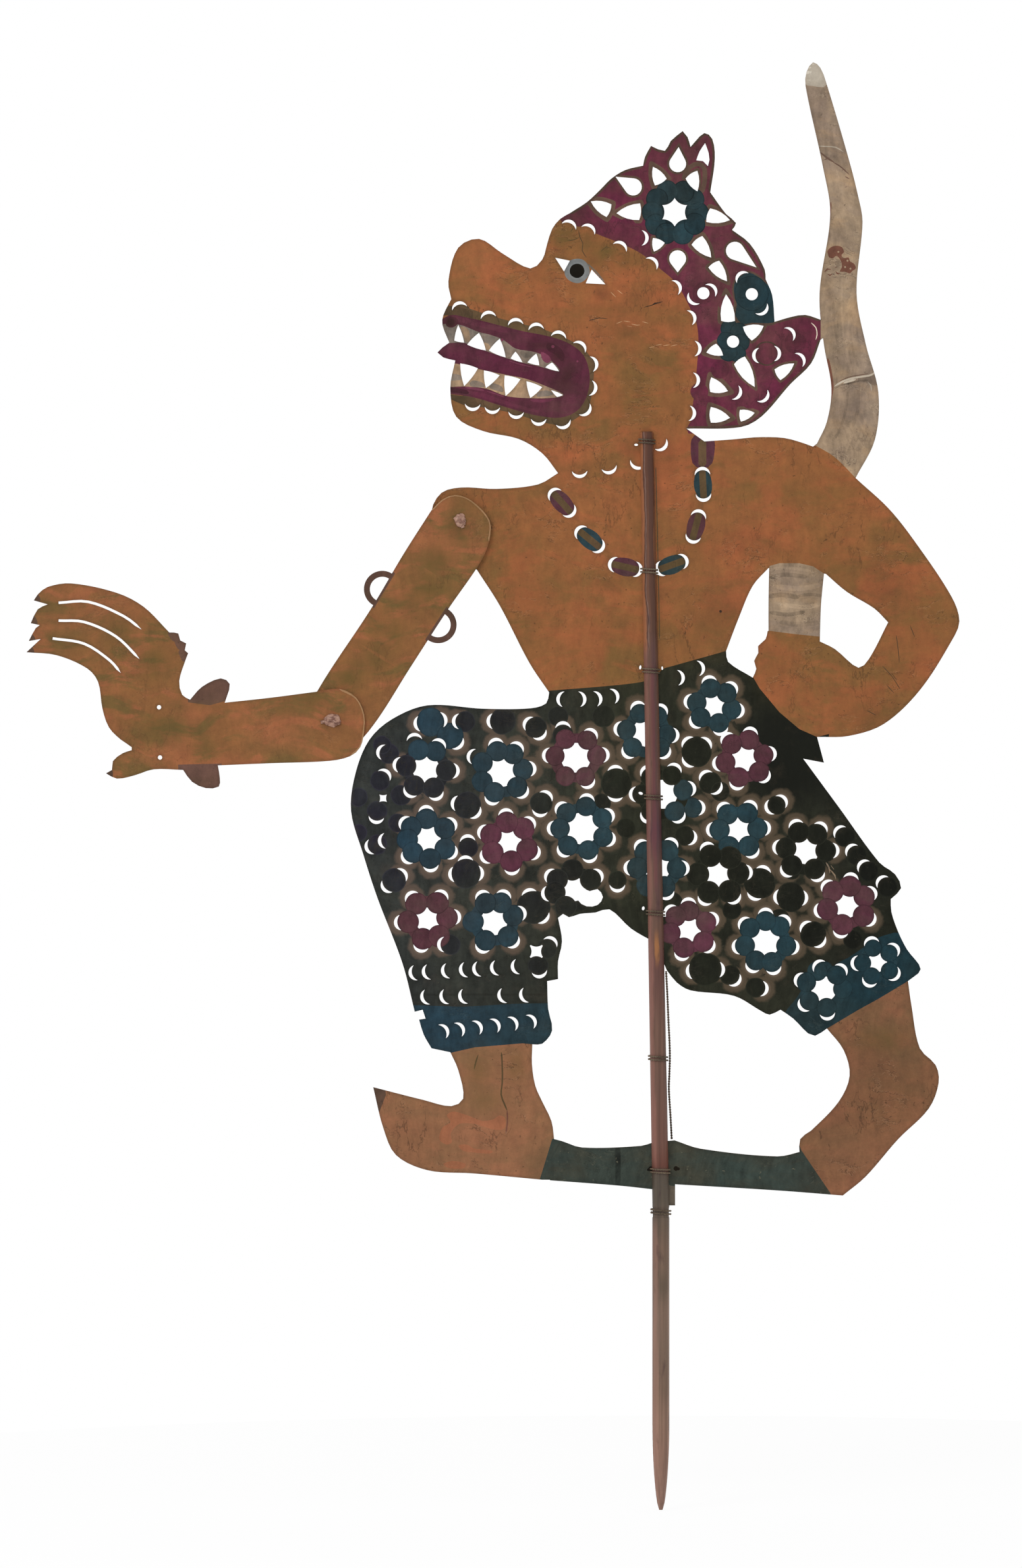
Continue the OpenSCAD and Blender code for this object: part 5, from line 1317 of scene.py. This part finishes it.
# %% Stripes of the stick: stains, wear, painted highlights and painted shade
rise = larger(tree, minus(tree, height, split_z * MM), 0.0)
sideways = calc(tree, "DIVIDE", sloped(tree, rise, math.tan(math.radians(lean)), parts[0]), grip_r * MM)
wavy = sloped(tree, minus(tree, patch, 0.5), 0.9, sideways)


def stripe_at(middle, half, low, high):
    """A soft stripe along the stick between two heights in millimetres; both ends fade."""
    fade = 5
    near = fall(tree, calc(tree, "ABSOLUTE", minus(tree, wavy, middle)), half * 0.5, half * 1.5)
    ends = times(tree, step(tree, height, (low - fade) * MM, (low + fade) * MM),
                 fall(tree, height, (high - fade) * MM, (high + fade) * MM))
    return times(tree, near, ends)


# A row gives where a stripe runs across the stick, in grip radii from its axis (negative to the left), half
# its width, the heights in millimetres where it begins and ends, its strength and its colour. The pale rows
# at -0.75, -0.28 and -0.7 are painted highlights down the lit left side, and the dark rows at 0.35 and 0.62
# are painted shade down the right side of the round stick; the other rows are bands of other colours on the
# stick.
stick_stains_and_painted_light = [
    (-0.75, 0.35, 80, 345, 0.55, "#8c6055"), (0.35, 0.3, 345, 460, 0.65, "#482e25"),
    (-0.78, 0.28, 340, 460, 0.85, "#98613f"), (0.85, 0.2, 345, 460, 0.5, "#74492f"),
    (-0.42, 0.06, 340, 460, 0.6, "#3c2723"), (-0.28, 0.05, 340, 460, 0.4, "#8a7168"),
    (0.62, 0.05, 340, 460, 0.5, "#38241c"), (0.25, 0.5, 12, 23, 0.5, "#4b4234"),
    (0.25, 0.3, 205, 345, 0.45, "#4a2f36"), (0.05, 0.22, 182, 195, 0.8, "#9c683c"),
    (0.45, 0.35, -40, 50, 0.25, "#5f4d3e"), (-0.7, 0.3, -90, 50, 0.35, "#966f62"),
    (0.0, 0.25, 220, 330, 0.3, "#7a3f44")]
for middle, half, low, high, amount, code in stick_stains_and_painted_light:
    colour = mixed(tree, times(tree, stripe_at(middle, half, low, high), amount), colour, srgb(code))
colour = mixed(tree, times(tree, step(tree, patch, 0.42, 0.3), 0.5), colour, srgb("#3c2828"))
rough = sloped(tree, patch, 0.3, 0.36)
surface_of(tree, colour, rough, shine=0.25, height=fibre, relief=0.4, depth=0.2)
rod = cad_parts["control_rod"]
for holder in rod.material_slots:
    holder.material = stick
if not rod.material_slots:
    rod.data.materials.append(stick)
print("stick slots:", len(rod.material_slots))

# %% [markdown]
# ## Twine
# Eight ties bind the hide into the split stick. Each is two turns of two-ply twine whose ends are knotted
# on the reverse. A curve with a round bevel would be a smooth wire, so each ply is a small ring that is
# extruded step by step along the path and turned about it, which gives the twist that real twine shows.

# %% Twine finish
def twine_finish(name, clean, dirty, bright):
    """Fibres of a twine: its colour where it is clean, where it is dirty, and on the brightest fibres."""
    material, tree = new_material(name)
    spot_on = on_object(tree)
    fibre = cloud(tree, spot_on, 2600.0, 4.0, 0.7)
    dirt = cloud(tree, spot_on, 90.0, 3.0)
    colour = mixed(tree, step(tree, dirt, 0.4, 0.65), srgb(clean), srgb(dirty))
    colour = mixed(tree, step(tree, fibre, 0.5, 0.75), colour, srgb(bright))
    rough = sloped(tree, fibre, 0.2, 0.7)
    surface_of(tree, colour, rough, shine=0.2, height=fibre, relief=0.6, depth=0.15)
    return material


old_twine = twine_finish("old_twine", "#6c5d4d", "#4d4135", "#8d806c")
slack_twine = twine_finish("slack_twine", "#54463a", "#3b3028", "#776957")
print("twines:", old_twine.name, slack_twine.name)


# %% Laying a ply along a path
def lay_ply(bm, path, ring, radius, turn_at):
    """Extrudes a small ring from station to station; turn_at gives the ply's place round the path."""
    last = len(path) - 1
    lift = Vector((0, 0, 1)) if abs((path[1] - path[0]).normalized().z) < 0.8 else Vector((0, 1, 0))
    loop = None
    for i, middle in enumerate(path):
        ahead = (path[min(i + 1, last)] - path[max(i - 1, 0)]).normalized()
        side = ahead.cross(lift).normalized()
        lift = side.cross(ahead)
        shift = (side * math.cos(turn_at(i)) + lift * math.sin(turn_at(i))) * ring
        frame_here = Matrix((side, lift, ahead)).transposed().to_4x4()
        frame_here.translation = middle + shift
        if loop is None:
            made = bmesh.ops.create_circle(bm, cap_ends=True, segments=6, radius=radius, matrix=frame_here)
            loop = list(dict.fromkeys(e for v in made["verts"] for e in v.link_edges))
        else:
            made = bmesh.ops.extrude_edge_only(bm, edges=loop)["geom"]
            loop = [g for g in made if isinstance(g, bmesh.types.BMEdge)]
            bmesh.ops.transform(bm, matrix=frame_here @ frame_before.inverted(),
                                verts=[g for g in made if isinstance(g, bmesh.types.BMVert)])
        frame_before = frame_here
    bmesh.ops.contextual_create(bm, geom=loop)


ply_ring, ply_r = 0.235, 0.27  # shares of the thickness of the twine


def twine_along(name, paths, node, finish, lay=2.6 * MM, thickness=1.0 * MM):
    """Two plies twisted round each other along each path, joined into one piece."""
    bm = bmesh.new()
    for path in paths:
        reach = [0.0]
        for a, b in zip(path, path[1:]):
            reach.append(reach[-1] + (b - a).length)
        for half in (0, math.pi):
            lay_ply(bm, path, ply_ring * thickness, ply_r * thickness,
                    lambda i: half + 2 * math.pi * reach[i] / lay)
    bmesh.ops.recalc_face_normals(bm, faces=bm.faces)
    for face in bm.faces:
        face.smooth = len(face.verts) == 4
    count = sum(len(f.verts) - 2 for f in bm.faces)
    piece = new_object(name, bm, [finish])
    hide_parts(node)
    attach(piece, "figure")
    return count


# %% Ties and running thread
def tie_paths(z, turns=2, pitch=1.6, steps=44, knot_steps=48):
    """The coil of a tie, begun at the reverse, and the knot in which its ends meet there."""
    radius = tie_radius(z)
    tilt = Matrix.Rotation(math.radians(-lean if z > split_z else 0), 3, "Y")
    home = Vector((stick_middle(z), 0, z))
    coil = []
    for i in range(turns * steps + 1):
        a = math.pi - 2 * math.pi * i / steps
        rise = pitch * (i / steps - turns / 2)
        coil.append((home + tilt @ Vector((radius * math.sin(a), -radius * math.cos(a), rise))) * MM)
    knot = []
    for i in range(knot_steps + 1):
        a = 2 * math.pi * i / knot_steps * 1.5
        out = radius + 1.2 + 0.45 * math.cos(2 * a)
        knot.append((home + tilt @ Vector((1.5 * math.sin(a), out, 1.7 * math.cos(a)))) * MM)
    tails = [[(home + tilt @ Vector((side * (1.0 + 0.6 * k), radius + 1.2 - 0.16 * k, -1.4 - 1.1 * k))) * MM
              for k in range(4)] for side in (-1, 1)]
    return [coil, knot] + tails


for name, z in tie_heights.items():
    print(name, twine_along(name + "_twine", tie_paths(z), name, old_twine), "triangles")
route = [(0.3, 177), (0.7, 165), (1, 151), (1.3, 141), (1.3, 133), (0.9, 125), (0.5, 117), (1, 104),
         (1.4, 92)]
course = [(stick_middle(z) + stick_radius(z) + thread_d / 2 + air, z) for air, z in route]
course = [Vector((x, 0, z)) * MM for x, z in flowing(course, closed=False, pace=0.6)]
count = twine_along("running_twine", [course], "running_thread", slack_twine, thickness=1.3 * MM)
print("running_thread", count, "triangles")

# %% [markdown]
# ## Rawhide knots
# A strip of damp rawhide goes through both sheets and is rolled into a knot on each side, where it dries
# hard. Each knot is a low mound with a strip wound over it and a short end left standing. Sculpting could
# give such a lump, but a half sphere dented by noise is enough at this size, and its numbers can be read.

# %% Rawhide finish
rawhide, tree = new_material("rawhide")
spot_on = on_object(tree)
vein = cloud(tree, mapped(tree, spot_on, Scale=(500, 500, 1500)), 1.0, 4.0, 0.6)
patch = cloud(tree, spot_on, 420.0, 4.0)
colour = mixed(tree, step(tree, patch, 0.4, 0.65), srgb("#a57f6c"), srgb("#6d4638"))
colour = mixed(tree, step(tree, vein, 0.52, 0.75), colour, srgb("#bb9a89"))
rough = sloped(tree, vein, 0.25, 0.35)
surface_of(tree, colour, rough, shine=0.45, height=vein, relief=0.5, depth=0.25)
print("nodes of the rawhide:", len(tree.nodes))


# %% Knots
def knot_side(bm, base_y, outward, size, height):
    """A dented mound on one side of the hides; outward is -1 for the face and 1 for the reverse."""
    for v in bmesh.ops.create_uvsphere(bm, u_segments=28, v_segments=16, radius=1.0)["verts"]:
        dent = 1 + 0.16 * noise.noise(v.co * 1.9 + Vector((size[0], 0, 7))) + 0.05 * noise.noise(v.co * 6)
        rise = outward * max(v.co.y, 0) * height * dent
        v.co = Vector((v.co.x * size[0] * dent, base_y / MM + rise, v.co.z * size[1] * dent)) * MM


def knot_strip(bm, points, width, thick):
    """A flat strip of rawhide through points, made by extruding one edge and giving it thickness."""
    line = [Vector(p) for p in points]
    rows = []
    for i, p in enumerate(line):
        ahead = (line[min(i + 1, len(line) - 1)] - line[max(i - 1, 0)]).normalized()
        side = ahead.cross(Vector((0, 1, 0))).normalized() * width / 2
        rows.append([bm.verts.new((p - side) * MM), bm.verts.new((p + side) * MM)])
    faces = [bm.faces.new((a[0], a[1], b[1], b[0])) for a, b in zip(rows, rows[1:])]
    grown = bmesh.ops.extrude_face_region(bm, geom=faces)
    lifted = [v for v in grown["geom"] if isinstance(v, bmesh.types.BMVert)]
    bmesh.ops.translate(bm, verts=lifted, vec=(0, thick * MM, 0))


face_depth, face_height, back_size, stem_r = 2.0, 1.5, (3.3, 3.3), 1.5


def rawhide_knot(name, node, at, size, tail, back_depth, back_height):
    """A mound on the face and one on the reverse, the stem between them, a strip over it and a loose end."""
    low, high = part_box(node)
    bm = bmesh.new()
    face_base = low[1] + face_depth * MM
    back_base = high[1] - back_depth * MM
    knot_side(bm, face_base, -1, size, face_height)
    knot_side(bm, back_base, 1, back_size, back_height)
    stem = bmesh.ops.create_cone(bm, cap_ends=True, segments=24, radius1=stem_r * MM, radius2=stem_r * MM,
                                 depth=back_base - face_base,
                                 matrix=Matrix.Rotation(math.radians(90), 4, "X"))["verts"]
    bmesh.ops.translate(bm, verts=stem, vec=(0, (back_base + face_base) / 2, 0))
    y = face_base / MM
    over = [(-size[0] * 0.95 + size[0] * 1.9 * i / 10, y - 0.6 - 1.15 * math.sin(math.pi * i / 10),
             0.9 * math.sin(5 * i / 10)) for i in range(11)]
    knot_strip(bm, over, 2.6, 0.45)
    end = [(tail[0] * i / 5, y - 0.75 + 0.06 * i, tail[1] * i / 5 + 0.3 * math.sin(i)) for i in range(6)]
    knot_strip(bm, end, 1.7, 0.4)
    bmesh.ops.translate(bm, verts=bm.verts, vec=(at[0] * MM, 0, at[1] * MM))
    bmesh.ops.recalc_face_normals(bm, faces=bm.faces)
    for face in bm.faces:
        face.smooth = True
    piece = new_object(name, bm, [rawhide])
    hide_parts(node)
    return piece


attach(rawhide_knot("shoulder_rawhide", "shoulder_knot", shoulder, (2.9, 3.5), tail=(1.5, -3.5),
                     back_depth=2.0, back_height=1.7), "figure")
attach(rawhide_knot("elbow_rawhide", "elbow_knot", elbow, (4.2, 3.3), tail=(-6.0, -0.6),
                     back_depth=0.6, back_height=0.5), "upper_arm")
print("knots made")
